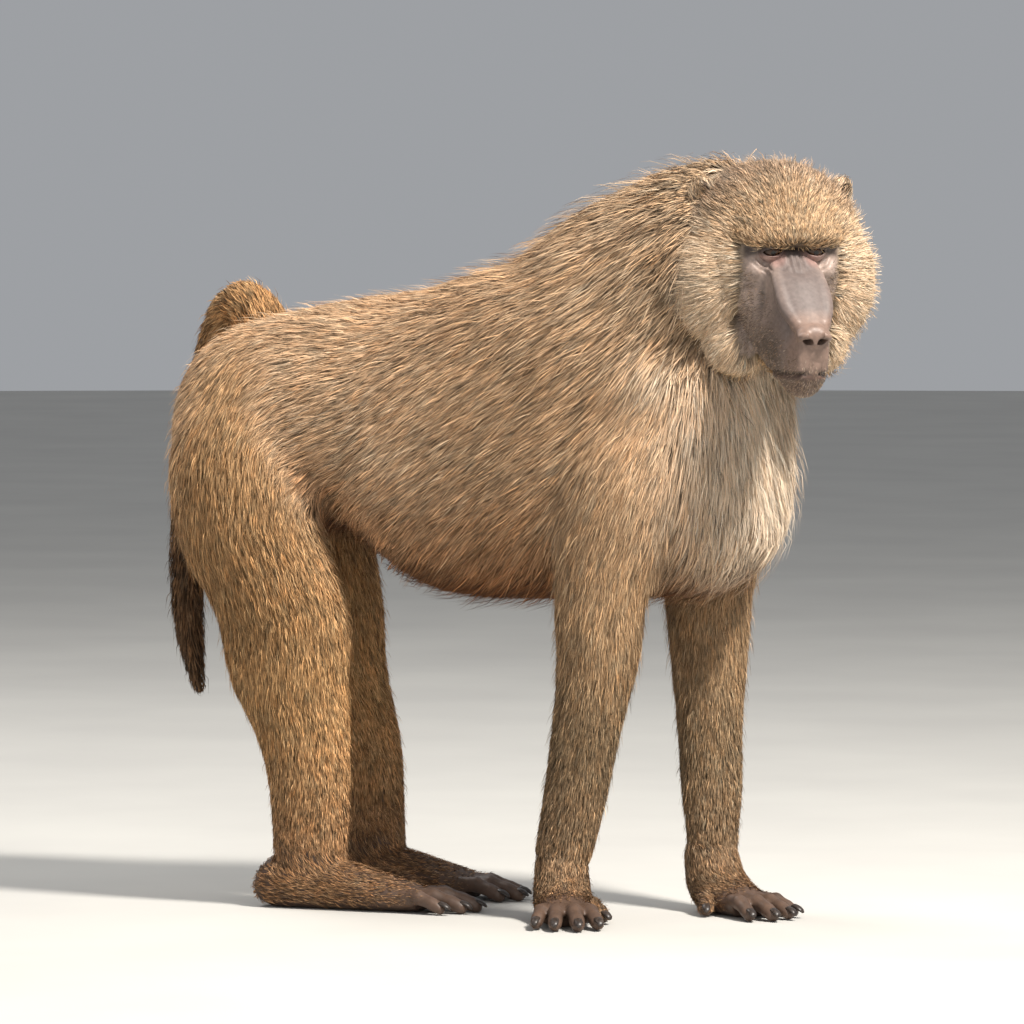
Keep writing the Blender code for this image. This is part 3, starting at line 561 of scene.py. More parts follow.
def body_coat(points, normals):
    """The lie, length, depth and colour of the hair anywhere on trunk, neck and limbs, with painted sheen on
    the chest's front and painted shade under the belly.
    """
    lie, length, depth, colour, weight = follow(points)
    trunkish = weight[0] + weight[1]
    side = np.abs(normals[:, 1])
    under = ramp(-normals[:, 2], 0.15, 0.75) * weight[0]
    lie = lie + np.array([0, 0, -1.0]) * (0.62 * side * trunkish)[:, None]
    front = ramp(normals[:, 0], 0.1, 0.6) * ramp(points[:, 0], 0.13, 0.2) * trunkish
    lie = lie * (1 - front[:, None]) + np.array([-0.05, 0, -1.0]) * front[:, None]
    lie = lie + np.array([0, 0, -0.8]) * under[:, None]
    front = front * ramp(points[:, 2], 0.33, 0.42)
    length = length * (1 + 0.6 * under + 0.35 * front)
    depth = depth * (1 + 0.5 * under + 0.45 * front)
    # Painted shade: hair facing down on the trunk is darkened towards the shaded belly colour.
    belly_shade = (ramp(-normals[:, 2], 0.35, 0.85) * weight[0])[:, None]
    low = ramp(0.02 - normals[:, 2], 0.0, 0.45) * weight[0] * ramp(0.17 - points[:, 0], 0.0, 0.05)
    colour = blend(colour, GROIN, 0.55 * low)
    colour = colour * (1 - belly_shade) + BELLY_IN_SHADE * belly_shade
    # Painted highlight: hair facing forward on the chest is paled towards the sunlit sheen colour.
    pale = ramp(normals[:, 0], 0.05, 1.0) * ramp(points[:, 0], 0.13, 0.27) * trunkish
    colour = blend(colour, CHEST_SHEEN, pale * ramp(points[:, 2], 0.33, 0.42))
    blotch = 1 + 0.1 * ripple(points, 0.11, 3) + 0.05 * ripple(points, 0.04, 4)
    return unit(lie), length, depth, colour * blotch[:, None]


body = fused(
    "body",
    [
        barrel("trunk", TRUNK),
        limb("neck_loft", NECK),
        limb("right_arm_loft", RIGHT_ARM),
        limb("left_arm_loft", LEFT_ARM),
        limb("right_leg_loft", RIGHT_LEG),
        limb("left_leg_loft", LEFT_LEG),
    ],
    BODY_FUSE,
    14,
    BODY_KEEP,
)
body.data.transform(Matrix.Translation(-MIDDLE))
body_points, body_normals = points_of(body), normals_of(body)
body_depth = body_coat(body_points, body_normals)[2]
mane_rise = MANE_RISE * follow(body_points)[4][1]
place_points(body, body_points - body_normals * np.maximum(body_depth - mane_rise, THINNEST_COAT)[:, None])

tail_skin = limb("tail_skin", TAIL, sides=20, steps=5, less=TAIL_COAT)
tail_skin.data.transform(Matrix.Translation(-MIDDLE))


# The head: covered cranium with ruff, brow ridge, lids, the long muzzle with its two ridges, nose and lips.
# The face is a finer shell than the rest, and its mouth line, folds and slots are pressed in after melting.
# The head's own frame has x to the nose, y to the left and z up. Rows give x, top, bottom and half width.
HEAD_PLACE = Vector((0.378, -0.091, 0.665)) - MIDDLE
HEAD_YAW = math.radians(-51)
HEAD_PITCH = math.radians(15)
HEAD_TURN = Matrix.Rotation(HEAD_YAW, 4, "Z") @ Matrix.Rotation(HEAD_PITCH, 4, "Y")
HEAD_FRAME = Matrix.Translation(HEAD_PLACE) @ HEAD_TURN
HEAD = [
    (-0.132, 0.036, -0.06, 0.054),
    (-0.11, 0.056, -0.085, 0.077),
    (-0.08, 0.063, -0.098, 0.086),
    (-0.05, 0.06, -0.101, 0.085),
    (-0.022, 0.044, -0.097, 0.068),
    (-0.002, 0.022, -0.088, 0.05),
]
FACE = [
    (-0.045, -0.01, -0.108, 0.048),
    (-0.015, 0.002, -0.117, 0.0425),
    (0.012, -0.008, -0.124, 0.035),
    (0.04, -0.024, -0.129, 0.029),
    (0.064, -0.038, -0.131, 0.0245),
    (0.082, -0.048, -0.124, 0.0195),
    (0.0955, -0.056, -0.106, 0.015),
]
EYE_PLACE = Vector((-0.003, 0.0215, -0.0025))
EYE_RADIUS = 0.0105
SOCKET_RADIUS = EYE_RADIUS + 0.0002
LID_RADIUS = 0.0126
EYE_OPENING = (0.02, 0.0098, 0.0038)
NOSTRIL_PLACE = Vector((0.0985, 0.0073, -0.066))
NOSTRIL_OPENING = (0.009, 0.0058, 0.0041)
MOUTH_FRONT = Vector((0.086, 0.0, -0.1005))
MOUTH_CORNER = Vector((0.014, 0.0, -0.1175))
EAR_PLACE = Vector((-0.084, 0.0675, 0.027))
EAR_SIZE = (0.0068, 0.014, 0.0172)
EAR_HOLLOW = (0.0076, 0.0102, 0.0132)
EAR_HOLLOW_PLACE = (0.0065, 0.001, 0.0015)
EAR_TURN = math.radians(28)
EAR_LEAN = math.radians(-14)
HEAD_COAT = 0.008
HEAD_FUSE = 0.00165
HEAD_KEEP = 0.55
FOREHEAD = [
    ((-0.034, -0.046, 0.006), 0.011),
    ((-0.019, -0.03, 0.013), 0.0125),
    ((-0.015, -0.012, 0.015), 0.013),
]
ARCH = [
    ((-0.024, -0.047, 0.002), 0.0085),
    ((-0.0085, -0.032, 0.01), 0.0095),
    ((-0.0045, -0.012, 0.012), 0.0098),
]
BROW = [
    ((-0.02, -0.047, -0.0005), 0.0056),
    ((-0.002, -0.033, 0.007), 0.0068),
    ((0.003, -0.012, 0.008), 0.0068),
]
BRIDGE = [
    ((0.0, 0, -0.018), 0.008, 0.02),
    ((0.03, 0, -0.028), 0.0098, 0.0262),
    ((0.058, 0, -0.0436), 0.0098, 0.0252),
    ((0.08, 0, -0.0562), 0.0086, 0.0185),
    ((0.09, 0, -0.0615), 0.007, 0.015),
]
RIDGE = [
    ((0.002, 0.0172, -0.017), 0.007),
    ((0.03, 0.0205, -0.0278), 0.0078),
    ((0.058, 0.02, -0.0434), 0.0078),
    ((0.08, 0.013, -0.056), 0.007),
]
WING = [
    ((0.092, 0.0145, -0.0645), 0.0036),
    ((0.0975, 0.0125, -0.061), 0.0036),
    ((0.1, 0.007, -0.059), 0.0036),
]


def on_side(place, side):
    """A place given for the left, on the side wanted: -1 right, 1 left."""
    return Vector((place[0], place[1] * side, place[2]))


def side_row(row, side):
    """A limb's stations given for the left, on the side wanted."""
    return [((x, y * side, z), radius) for (x, y, z), radius in row]


def head_pieces(less):
    """The forms that the head is melted from, in its own frame, the covered ones less the coat."""
    covered = []
    for x, top, bottom, half_width in HEAD:
        sink = less * min(1.0, 0.45 - 14.0 * x)
        covered.append((x, top - sink, bottom + sink, half_width - sink))
    pieces = [barrel("cranium", covered, fullness=2.1), barrel("face", FACE, sides=36, fullness=2.25)]
    for name, half, sides in (("forehead", FOREHEAD, 20), ("arch", ARCH, 20), ("brow", BROW, 14)):
        whole = half + [((x, -y, z), radius) for (x, y, z), radius in reversed(half)]
        pieces.append(limb(name, whole, sides=sides, across=Vector((0, 0, 1))))
    for side in (-1, 1):
        pieces.append(limb("ridge", side_row(RIDGE, side), sides=14))
        pieces.append(ball("cheekbone", (-0.01, side * 0.035, -0.024), (0.016, 0.013, 0.014)))
        ruff = (0.04 - less, 0.04 - less, 0.06 - less)
        pieces.append(ball("ruff", (-0.052, side * 0.06, -0.052), ruff))
        jowl = (0.036 - less, 0.034 - less, 0.037 - less)
        pieces.append(ball("jowl", (-0.034, side * 0.04, -0.104), jowl))
        pieces.append(limb("nostril_wing", side_row(WING, side), sides=12))
    pieces.append(limb("bridge", BRIDGE))
    pieces.append(ball("nose", (0.089, 0, -0.062), (0.0105, 0.0172, 0.011)))
    pieces.append(ball("septum", (0.0965, 0, -0.066), (0.0035, 0.0028, 0.006)))
    pieces.append(ball("upper_lip", (0.079, 0, -0.088), (0.015, 0.0188, 0.0125)))
    pieces.append(ball("lower_lip", (0.077, 0, -0.108), (0.011, 0.0148, 0.0068)))
    pieces.append(ball("chin", (0.064, 0, -0.1175), (0.0155, 0.0175, 0.0125)))
    return pieces


def cut_out(obj, others, operation):
    """One Boolean between a closed skin and a group of closed forms."""
    group = bpy.data.collections.new("group")
    for other in others:
        group.objects.link(other)
    step = obj.modifiers.new("Boolean", "BOOLEAN")
    step.operation = operation
    step.solver = "MANIFOLD"
    step.operand_type = "COLLECTION"
    step.collection = group
    settle(obj)
    bpy.data.collections.remove(group)
    discard(*others)
    return obj


def mouth_line(x):
    """The height of the mouth's line along the head."""
    slope = (MOUTH_FRONT.z - MOUTH_CORNER.z) / (MOUTH_FRONT.x - MOUTH_CORNER.x)
    return MOUTH_CORNER.z + slope * (x - MOUTH_CORNER.x)


def bump(value, middle, spread):
    """A bell of height 1 round the middle."""
    return np.exp(-(((value - middle) / spread) ** 2))


def press_face(points, normals):
    """Presses the mouth line, the folds of the bridge and the bags under the eyes into the face."""
    x, y, z = points.T
    wide = np.abs(y)
    line = mouth_line(x) + 0.0012 * np.cos(y * 190) - 0.0008
    ahead = ramp(x, MOUTH_CORNER.x, MOUTH_CORNER.x + 0.008)
    depth = 0.0036 * bump(z, line, 0.0017) * ahead
    depth -= 0.0007 * bump(z - line, 0.004, 0.0024) * ahead
    depth -= 0.0007 * bump(z - line, -0.0044, 0.0026) * ahead
    bridge = ramp(0.042 - x, 0.0, 0.03) * ramp(x, -0.01, 0.0)
    bridge = bridge * ramp(0.013 - wide, 0, 0.006) * ramp(-z, 0.0, 0.008)
    depth += 0.0024 * bridge * (0.5 + 0.5 * np.cos(wide * 2 * math.pi / 0.0062))
    eye = np.hypot((wide - EYE_PLACE.y) * 0.8, z - EYE_PLACE.z + 0.004)
    under = ramp(-z, 0.006, 0.012) * ramp(0.024 - x, 0, 0.01)
    bags = under * np.cos((eye - 0.0115) * 2 * math.pi / 0.005)
    depth += 0.001 * bags * ramp(0.021 - eye, 0, 0.007) * ramp(eye, 0.009, 0.012)
    hollow = bump(x, 0.02, 0.02) * bump(z, -0.05, 0.018) * ramp(wide, 0.016, 0.028)
    depth += 0.0042 * hollow
    slot = bump(x, 0.012, 0.006) * bump(z, -0.045, 0.013) * ramp(wide, 0.02, 0.026)
    depth += 0.0046 * slot
    furrow = bump(z - 0.2 * x, -0.075, 0.016) * ramp(wide, 0.012, 0.02) * ramp(x, 0.03, 0.05)
    depth += 0.0012 * furrow * ramp(0.09 - x, 0, 0.02)
    philtrum = bump(y, 0.0, 0.0011) * ramp(-z, 0.072, 0.076) * ramp(z, -0.101, -0.094)
    depth += 0.001 * philtrum * ramp(x, 0.07, 0.08)
    return points - normals * depth[:, None]


head = fused("head_skin", head_pieces(HEAD_COAT), HEAD_FUSE, 3, HEAD_KEEP)
lids, openings, hollows = [], [], []
for side in (-1, 1):
    eye_place = on_side(EYE_PLACE, side)
    lids.append(ball("lid", eye_place, (LID_RADIUS,) * 3, rings=28, segments=40))
    turn = Matrix.Rotation(math.radians(-5 * side), 4, "X")
    openings.append(ball("opening", eye_place + Vector((0.01, 0, 0)), EYE_OPENING, turn, 20, 32))
    hollows.append(ball("socket", eye_place, (SOCKET_RADIUS,) * 3, rings=28, segments=40))
    nostril = on_side(NOSTRIL_PLACE, side)
    turn = Matrix.Rotation(math.radians(24 * side), 4, "X") @ Matrix.Rotation(math.radians(20), 4, "Y")
    openings.append(ball("nostril", nostril, NOSTRIL_OPENING, turn, 16, 24))
cut_out(head, lids, "UNION")
cut_out(head, openings, "DIFFERENCE")
cut_out(head, hollows, "DIFFERENCE")
place_points(head, press_face(points_of(head), normals_of(head)))

ears = []
for side in (-1, 1):
    turn = Matrix.Rotation(EAR_TURN * side, 4, "Z") @ Matrix.Rotation(EAR_LEAN * side, 4, "X")
    centre = on_side(EAR_PLACE, side)
    ear = ball("ear", centre, EAR_SIZE, turn, 28, 40)
    hollow = ball("hollow", centre + turn @ on_side(EAR_HOLLOW_PLACE, side), EAR_HOLLOW, turn, 24, 32)
    ears.append(cut_out(ear, [hollow], "DIFFERENCE"))
for piece in [head] + ears:
    piece.data.transform(HEAD_FRAME)


# Hands and feet: palms and soles flat on the floor, five digits each with dark nails set into the tips.
# The skin is black-brown and creased, with short hair on the backs as far as the knuckles.
# Palm, sole and ankle rows give reach, height, half width and half height. Digit rows give the root's reach
# and offset, the angle outwards, the length and the half thickness.
HAND_PLACES = {
    -1: (Vector((0.127, -0.081, 0.0)) - MIDDLE, math.radians(-62)),
    1: (Vector((0.228, 0.06, 0.0)) - MIDDLE, math.radians(-33)),
}
FOOT_PLACES = {
    -1: (Vector((-0.151, -0.077, 0.0)) - MIDDLE, math.radians(4)),
    1: (Vector((-0.16, 0.077, 0.0)) - MIDDLE, math.radians(-2)),
}
PALM = [
    (-0.003, 0.068, 0.0225, 0.0255),
    (-0.002, 0.055, 0.0235, 0.0265),
    (0.008, 0.028, 0.0255, 0.0295),
    (0.036, 0.0165, 0.027, 0.0185),
    (0.062, 0.012, 0.027, 0.014),
    (0.074, 0.0092, 0.0245, 0.0105),
]
SOLE = [
    (-0.056, 0.022, 0.014, 0.014),
    (-0.04, 0.024, 0.022, 0.024),
    (-0.01, 0.026, 0.026, 0.028),
    (0.03, 0.023, 0.027, 0.025),
    (0.072, 0.018, 0.03, 0.0195),
    (0.108, 0.014, 0.031, 0.0142),
    (0.122, 0.012, 0.029, 0.0108),
]
ANKLE = [
    (-0.002, 0.09, 0.0235, 0.036),
    (0.0, 0.05, 0.0245, 0.036),
    (0.004, 0.026, 0.0235, 0.033),
]
FINGERS = [
    (0.018, -0.022, -30, 0.036, 0.0078),
    (0.064, -0.019, -12, 0.052, 0.008),
    (0.067, -0.006, -3, 0.06, 0.0084),
    (0.065, 0.008, 6, 0.056, 0.008),
    (0.06, 0.02, 15, 0.045, 0.0074),
]
TOES = [
    (0.04, -0.024, -32, 0.066, 0.01),
    (0.112, -0.021, -8, 0.056, 0.0084),
    (0.116, -0.007, -2, 0.064, 0.0088),
    (0.113, 0.008, 4, 0.059, 0.0084),
    (0.106, 0.022, 10, 0.05, 0.0078),
]
PAW_FUSE = 0.0018
PAW_KEEP = 0.35
FLOOR_GAP = 0.0002
DIGIT = [
    (0.1, 0.016, 1.02),
    (0.26, 0.0165, 0.9),
    (0.42, 0.0165, 1.02),
    (0.6, 0.013, 0.86),
    (0.74, 0.0105, 0.95),
    (0.9, 0.0072, 0.86),
    (0.97, 0.006, 0.66),
    (1.0, 0.0056, 0.3),
]
NAIL_SECTIONS = [
    (0.0, 0.0, 0.0032, 0.0014),
    (0.0025, -0.0002, 0.0042, 0.0022),
    (0.008, 0.0014, 0.0043, 0.0022),
    (0.012, 0.0036, 0.0036, 0.0018),
    (0.0142, 0.0056, 0.002, 0.001),
]


def digit_line(root, across, angle, side):
    """The heading and base of a finger or toe in the frame of its hand or foot."""
    turn = math.radians(angle) * side
    ahead = Vector((math.cos(turn), math.sin(turn), 0))
    return ahead, Vector((root, across * side, 0)), Vector((-ahead.y, ahead.x, 0))


def digit(place, root, across, angle, length, half, side):
    """A finger or toe with its knuckles, arched to a tip on the floor."""
    ahead, base, level = digit_line(root, across, angle, side)
    rings = []
    for share, height, size in [(-0.012 / length, 0.014, 0.96)] + DIGIT:
        centre = base + ahead * length * share + Vector((0, 0, height))
        rings.append(place @ section(centre, ahead, level, half * size, half * size))
    return object_of("digit", tube(rings, 14))


def nail(place, root, across, angle, length, half, side):
    """A dark curved nail over the end of a digit."""
    ahead, base, level = digit_line(root, across, angle, side)
    rings = []
    for step, rise, wide, thick in NAIL_SECTIONS:
        centre = base + ahead * (length * 0.86 + step) + Vector((0, 0, 0.0118 - rise))
        rings.append(place @ section(centre, ahead - Vector((0, 0, 0.35)), level, thick, wide))
    return object_of("nail", tube(rings, 12))


def paw(place, turn, side, lofts, digits):
    """A hand or foot as one melted skin, and its nails."""
    spot = Matrix.Translation(place) @ Matrix.Rotation(turn, 4, "Z")
    pieces = []
    for stations, upright in lofts:
        values = eased(stations, LOFT_STEPS)
        rings = []
        for i, (x, z, wide, high) in enumerate(values):
            after, before = values[min(i + 1, len(values) - 1)], values[max(i - 1, 0)]
            along = Vector((after[0] - before[0], 0, after[1] - before[1])) if upright else Vector((1, 0, 0))
            rings.append(spot @ section(Vector((x, 0, z)), along, Vector((0, 1, 0)), high, wide))
        pieces.append(object_of("pad", tube(rings, 24)))
    pieces += [digit(spot, *values, side) for values in digits]
    made = [fused("paw", pieces, PAW_FUSE, 3, PAW_KEEP)] + [nail(spot, *values, side) for values in digits]
    for obj in made:
        points = points_of(obj)
        points[:, 2] = np.maximum(points[:, 2], FLOOR_GAP)
        place_points(obj, points)
    return made


paws, nails = [], []
for side in (-1, 1):
    for places, lofts, digits in (
        (HAND_PLACES, [(PALM, True)], FINGERS),
        (FOOT_PLACES, [(SOLE, False), (ANKLE, True)], TOES),
    ):
        made = paw(*places[side], side, lofts, digits)
        paws.append(made[0])
        nails += made[1:]


def joined(name, pieces):
    """Closed shells brought together as one object."""
    bm = bmesh.new()
    for piece in pieces:
        bm.from_mesh(piece.data)
    discard(*pieces)
    whole = added(name, mesh_of(name, bm))
    whole.data.shade_smooth()
    return whole


def roughen(tree, shader, height, strength, distance):
    """Relief from a height on that material's surface."""
    values = {"Height": height, "Strength": strength, "Distance": distance}
    relief = add_node(tree, "ShaderNodeBump", {}, values, "Normal")
    tree.links.new(relief.socket, shader.inputs["Normal"])


def nail_material():
    """Dark horn, a little glossy, streaked along its length."""
    material, tree, shader = new_material("nail_horn", 0.38, 0.5)
    streak = noise(tree, 420.0, 3.0)
    stops = [(0.3, tuple(paint(30, 25, 23))), (0.75, tuple(paint(70, 60, 54)))]
    tint = add_node(tree, "ShaderNodeValToRGB", {"stops": stops}, {"Fac": streak})
    tree.links.new(tint.socket, shader.inputs["Base Color"])
    roughen(tree, shader, streak, 0.2, 0.0004)
    return material


claws = joined("nails", nails)
claws.data.materials.append(nail_material())
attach(claws, "root")
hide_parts("hand_left", "hand_right", "foot_left", "foot_right")


# Seat pads: two bare horny pads joined across the middle, set into the rump under the tail's root.
SEAT_PLACE = Vector((-0.317, 0.019, 0.43))
SEAT_SIZE = (0.013, 0.02, 0.023)
SEAT_FUSE = 0.0022
SEAT_KEEP = 0.5
seat = []
for side in (-1, 1):
    seat.append(ball("seat", on_side(SEAT_PLACE, side) - MIDDLE, SEAT_SIZE, rings=20, segments=28))
seat_skin = fused("seat_skin", seat, SEAT_FUSE, 3, SEAT_KEEP)


# The skin's colours, worked out from place alone, so that coat and skin carry the same markings.
MUZZLE_TOP = paint(101, 90, 86)
MUZZLE_SIDE = paint(116, 101, 94)
NOSE_SKIN = paint(122, 101, 90)
CHEEK_SKIN = paint(156, 138, 128)
LIP = paint(80, 59, 50)
LID = paint(146, 112, 104)
# Painted shadow cast by the brow, over the upper lids and beneath the fur's edge.
BROW_SHADE = paint(46, 35, 31)
EAR_SKIN = paint(98, 84, 78)
CROWN_HAIR = paint(128, 108, 90)
BROW_HAIR = paint(162, 136, 107)
CHEEK_HAIR = paint(226, 200, 170)
THROAT_HAIR = paint(176, 148, 114)
CHEEK_DOWN = paint(138, 121, 106)
SEAT_SKIN = paint(84, 76, 74)
GROUND_SHADE = 0.3
HAND_HAIR = (0.072, 0.02)
FOOT_HAIR = (0.134, 0.075)


def blend_number(first, second, share):
    """From one number to another by a share for each point."""
    return first * (1 - share) + second * share


def in_head(points):
    """World points in the head's own frame."""
    matrix = np.array(HEAD_FRAME.inverted())
    return points @ matrix[:3, :3].T + matrix[:3, 3]


def bare_face(points):
    """1 on the bare face, 0 under the coat of the head."""
    x, y, z = in_head(points).T
    wide = np.abs(y)
    ahead = ramp(x, -0.036, -0.024)
    inward = ramp(0.0475 + 0.08 * np.minimum(z + 0.05, 0.0) - wide, -0.0035, 0.0035)
    ragged = 0.0014 * ripple(points, 0.007, 41)
    under_brow = ramp(0.0036 - 0.05 * wide + ragged - z, -0.001, 0.0018)
    jaw_line = ramp(z + 0.135 - 0.48 * np.maximum(0.042 - x, 0.0) + 2 * ragged, -0.003, 0.003)
    return ahead * inward * under_brow * jaw_line


def from_ear(points):
    """How far each point is from the nearer ear's middle."""
    inner = in_head(points)
    inner[:, 1] = np.abs(inner[:, 1])
    return np.linalg.norm(inner - np.array(EAR_PLACE), axis=1)


def face_colour(points):
    """The colours of the bare face: mauve-grey bridge, grey cheeks and dark lips, with painted shade under
    the brow, over the upper lids, in the mouth's crease, the cheek slots and the nostrils.
    """
    x, y, z = in_head(points).T
    wide = np.abs(y)
    bridge = ramp(0.024 + 0.04 * x - wide, -0.006, 0.012) * ramp(z + 0.036 + 0.5 * x, -0.01, 0.014)
    bridge = bridge * ramp(z + 0.078, -0.004, 0.006)
    colour = blend(CHEEK_SKIN, MUZZLE_SIDE, ramp(x, 0.01, 0.045))
    colour = blend(colour, MUZZLE_TOP, bridge)
    colour = blend(colour, NOSE_SKIN, ramp(x, 0.068, 0.084))
    eye = np.hypot(wide - EYE_PLACE.y, (z - EYE_PLACE.z) * 1.15)
    around = ramp(0.0175 - eye, 0, 0.007) * ramp(0.022 - x, 0, 0.006)
    colour = blend(colour, LID, 0.6 * around)
    # Painted shadow of the brow over the upper lids.
    colour = blend(colour, BROW_SHADE, around * ramp(z - EYE_PLACE.z, 0.001, 0.005))
    # Painted shadow in a band beneath the brow's fur, out to the eyes' outer corners.
    under_brow = ramp(z + 0.3 * np.maximum(wide - 0.022, 0), -0.007, -0.0005) * ramp(0.05 - wide, 0, 0.004)
    colour = blend(colour, BROW_SHADE, 0.9 * under_brow)
    line = mouth_line(x)
    colour = blend(colour, LIP, 0.85 * ramp(line - z, -0.0005, 0.002) * ramp(x, 0.02, 0.05))
    near_mouth = bump(z - line, 0.015, 0.017) * ramp(x, -0.012, 0.012) * ramp(0.072 - x, 0.0, 0.022)
    shade = 1 - 0.62 * near_mouth
    # Painted shadow in the crease of the mouth line.
    shade *= 1 - 0.8 * bump(z, line, 0.002) * ramp(x, 0.012, 0.02)
    outward = 0.99 * wide - 0.284 * x
    downward = 0.316 * x - 0.985 * z
    # hollow: painted shadow in the slot between cheek and muzzle; whiskers: the darker whiskered skin by the
    # mouth.
    hollow = bump(outward, 0.027, 0.0036) * bump(downward, 0.048, 0.015)
    whiskers = bump(outward, 0.03, 0.016) * bump(downward, 0.092, 0.017)
    shade *= (1 - 0.68 * hollow) * (1 - 0.42 * whiskers)
    # Painted shade inside the nostrils' openings.
    nostril = bump(wide, NOSTRIL_PLACE.y, 0.004) * bump(z, NOSTRIL_PLACE.z, 0.004) * ramp(x, 0.086, 0.092)
    shade *= 1 - 0.75 * nostril
    shade *= 1 + 0.07 * ripple(points, 0.012, 11) + 0.05 * ripple(points, 0.004, 12)
    return colour * shade[:, None]


def head_coat(points, normals):
    """The lie, length, depth and colour of the hair anywhere on the head."""
    inner = in_head(points)
    turn = np.array(HEAD_FRAME.to_3x3())
    facing = normals @ turn
    x, y, z = inner.T
    side = np.sign(y) * ramp(np.abs(y), 0.0, 0.02)
    top = np.maximum(ramp(z, -0.014, 0.026), ramp(x, -0.03, -0.016) * ramp(z, -0.006, 0.003))
    low = ramp(-z, 0.03, 0.095)
    still = np.ones(len(x))
    cheek_lie = np.stack([-0.75 * still, (0.75 - 0.35 * low) * side, -0.22 - 0.75 * low], axis=1)
    crown_lie = np.stack([-still, 0.45 * side, 0.25 + 0.5 * ramp(x, -0.04, 0.0)], axis=1)
    lie = blend(cheek_lie, crown_lie, top)
    back = ramp(-x, 0.01, 0.07)
    length = blend_number(0.02 + 0.026 * back, 0.01 + 0.016 * back, top)
    depth = blend_number(0.0075 + 0.0095 * back, 0.0042 + 0.0065 * back, top)
    length = length * (1 - 0.6 * ramp(0.036 - from_ear(points), 0.0, 0.016))
    chin = ramp(x, 0.0, 0.045)
    length = length * (1 - 0.6 * chin)
    depth = depth * (1 - 0.65 * chin)
    colour = blend(CHEEK_HAIR, blend(BROW_HAIR, CROWN_HAIR, back), top)
    colour = blend(colour, MANE, ramp(-x, 0.07, 0.11))
    colour = blend(colour, THROAT_HAIR, ramp(-facing[:, 2], 0.3, 0.8))
    colour = colour * (1 + 0.08 * ripple(points, 0.03, 21))[:, None]
    return unit(lie @ turn.T), length, depth, colour


def tail_coat(points, normals):
    """The lie, length, depth and colour of the hair on the tail."""
    marks = np.linspace(0, 1, len(TAIL))[:, None]
    found = along_line(points, TAIL, np.ones(len(TAIL)), marks)[1]
    lie, place = found[:, :3], found[:, 3]
    length = 0.02 + 0.006 * ramp(place, 0.6, 0.8)
    depth = np.full(len(points), TAIL_COAT)
    root = ramp(0.45 - place, 0.0, 0.22)[:, None]
    colour = TAIL_HAIR * (1 - root) + TAIL_ROOT * root
    return lie, length, depth, colour * (1 + 0.1 * ripple(points, 0.03, 31))[:, None]


def paw_of(points):
    """For each point the nearest hand's or foot's place, heading and where its hair ends."""
    best = np.full(len(points), FAR_OFF)
    found = np.zeros((len(points), 5))
    for places, (limit, middle) in ((HAND_PLACES, HAND_HAIR), (FOOT_PLACES, FOOT_HAIR)):
        for place, turn in places.values():
            heading = (math.cos(turn), math.sin(turn))
            centre = np.array(place)[:2] + np.array(heading) * middle
            gap = np.linalg.norm(points[:, :2] - centre, axis=1)
            row = np.array([place[0], place[1], *heading, limit])
            found = np.where((gap < best)[:, None], row, found)
            best = np.minimum(gap, best)
    return found


def along_paw(points):
    """How far along its hand or foot each point is, and how far to its side."""
    found = paw_of(points)
    offset = points[:, :2] - found[:, :2]
    reach = (offset * found[:, 2:4]).sum(axis=1)
    return reach, offset[:, 1] * found[:, 2] - offset[:, 0] * found[:, 3]


def paw_coat(points, normals):
    """The lie, length, depth and colour of the hair on the backs of hands and feet."""
    found = paw_of(points)
    reach = along_paw(points)[0]
    lie = np.hstack([found[:, 2:4], -1.6 * ramp(points[:, 2], 0.02, 0.06)[:, None]])
    far = ramp(reach / found[:, 4], 0.1, 0.9)
    hand = ramp(0.09 - found[:, 4], 0.0, 0.01)
    colour = blend(blend(ANKLE_HAIR, WRIST_HAIR, hand), PAW_HAIR, far)
    return unit(lie), 0.015 - 0.008 * far, 0.0036 - 0.0018 * far, colour


def give_colour(obj, colours):
    """Stores a colour for each vertex, or one for all."""
    colours = np.broadcast_to(colours, (len(obj.data.vertices), 3))
    layer = obj.data.color_attributes.new("marking", "FLOAT_COLOR", "POINT")
    layer.data.foreach_set("color", np.hstack([colours, np.ones((len(colours), 1))]).ravel())


def marking_of(tree):
    """The colour stored for each vertex."""
    return add_node(tree, "ShaderNodeAttribute", {"attribute_name": "marking"}, {}, "Color")


def skin_material():
    """Bare skin: its markings with fine mottling, pores and creases."""
    material, tree, shader = new_material("bare_skin", 0.52, 0.45)
    place = add_node(tree, "ShaderNodeTexCoord", {}, {}, "Object")
    mottle = noise(tree, 260.0, 5.0)
    cells = {"Vector": place, "Scale": 520.0}
    creases = add_node(tree, "ShaderNodeTexVoronoi", {"feature": "DISTANCE_TO_EDGE"}, cells)
    stops = [(0.3, (0.84, 0.83, 0.83)), (0.72, (1.12, 1.11, 1.1))]
    shade = add_node(tree, "ShaderNodeValToRGB", {"stops": stops}, {"Fac": mottle})
    multiply = {"data_type": "RGBA", "blend_type": "MULTIPLY"}
    tint = add_node(tree, "ShaderNodeMix", multiply, {0: 1.0, 6: marking_of(tree), 7: shade}, 2)
    tree.links.new(tint.socket, shader.inputs["Base Color"])
    tree.links.new((0.62 - mottle * 0.25).socket, shader.inputs["Roughness"])
    roughen(tree, shader, mottle * 0.6 + creases * 0.5, 0.3, 0.0005)
    return material


def ground_colour(coat_colour):
    """Skin under the coat: the hair's own colour, as dark as between the hairs."""
    return coat_colour * GROUND_SHADE


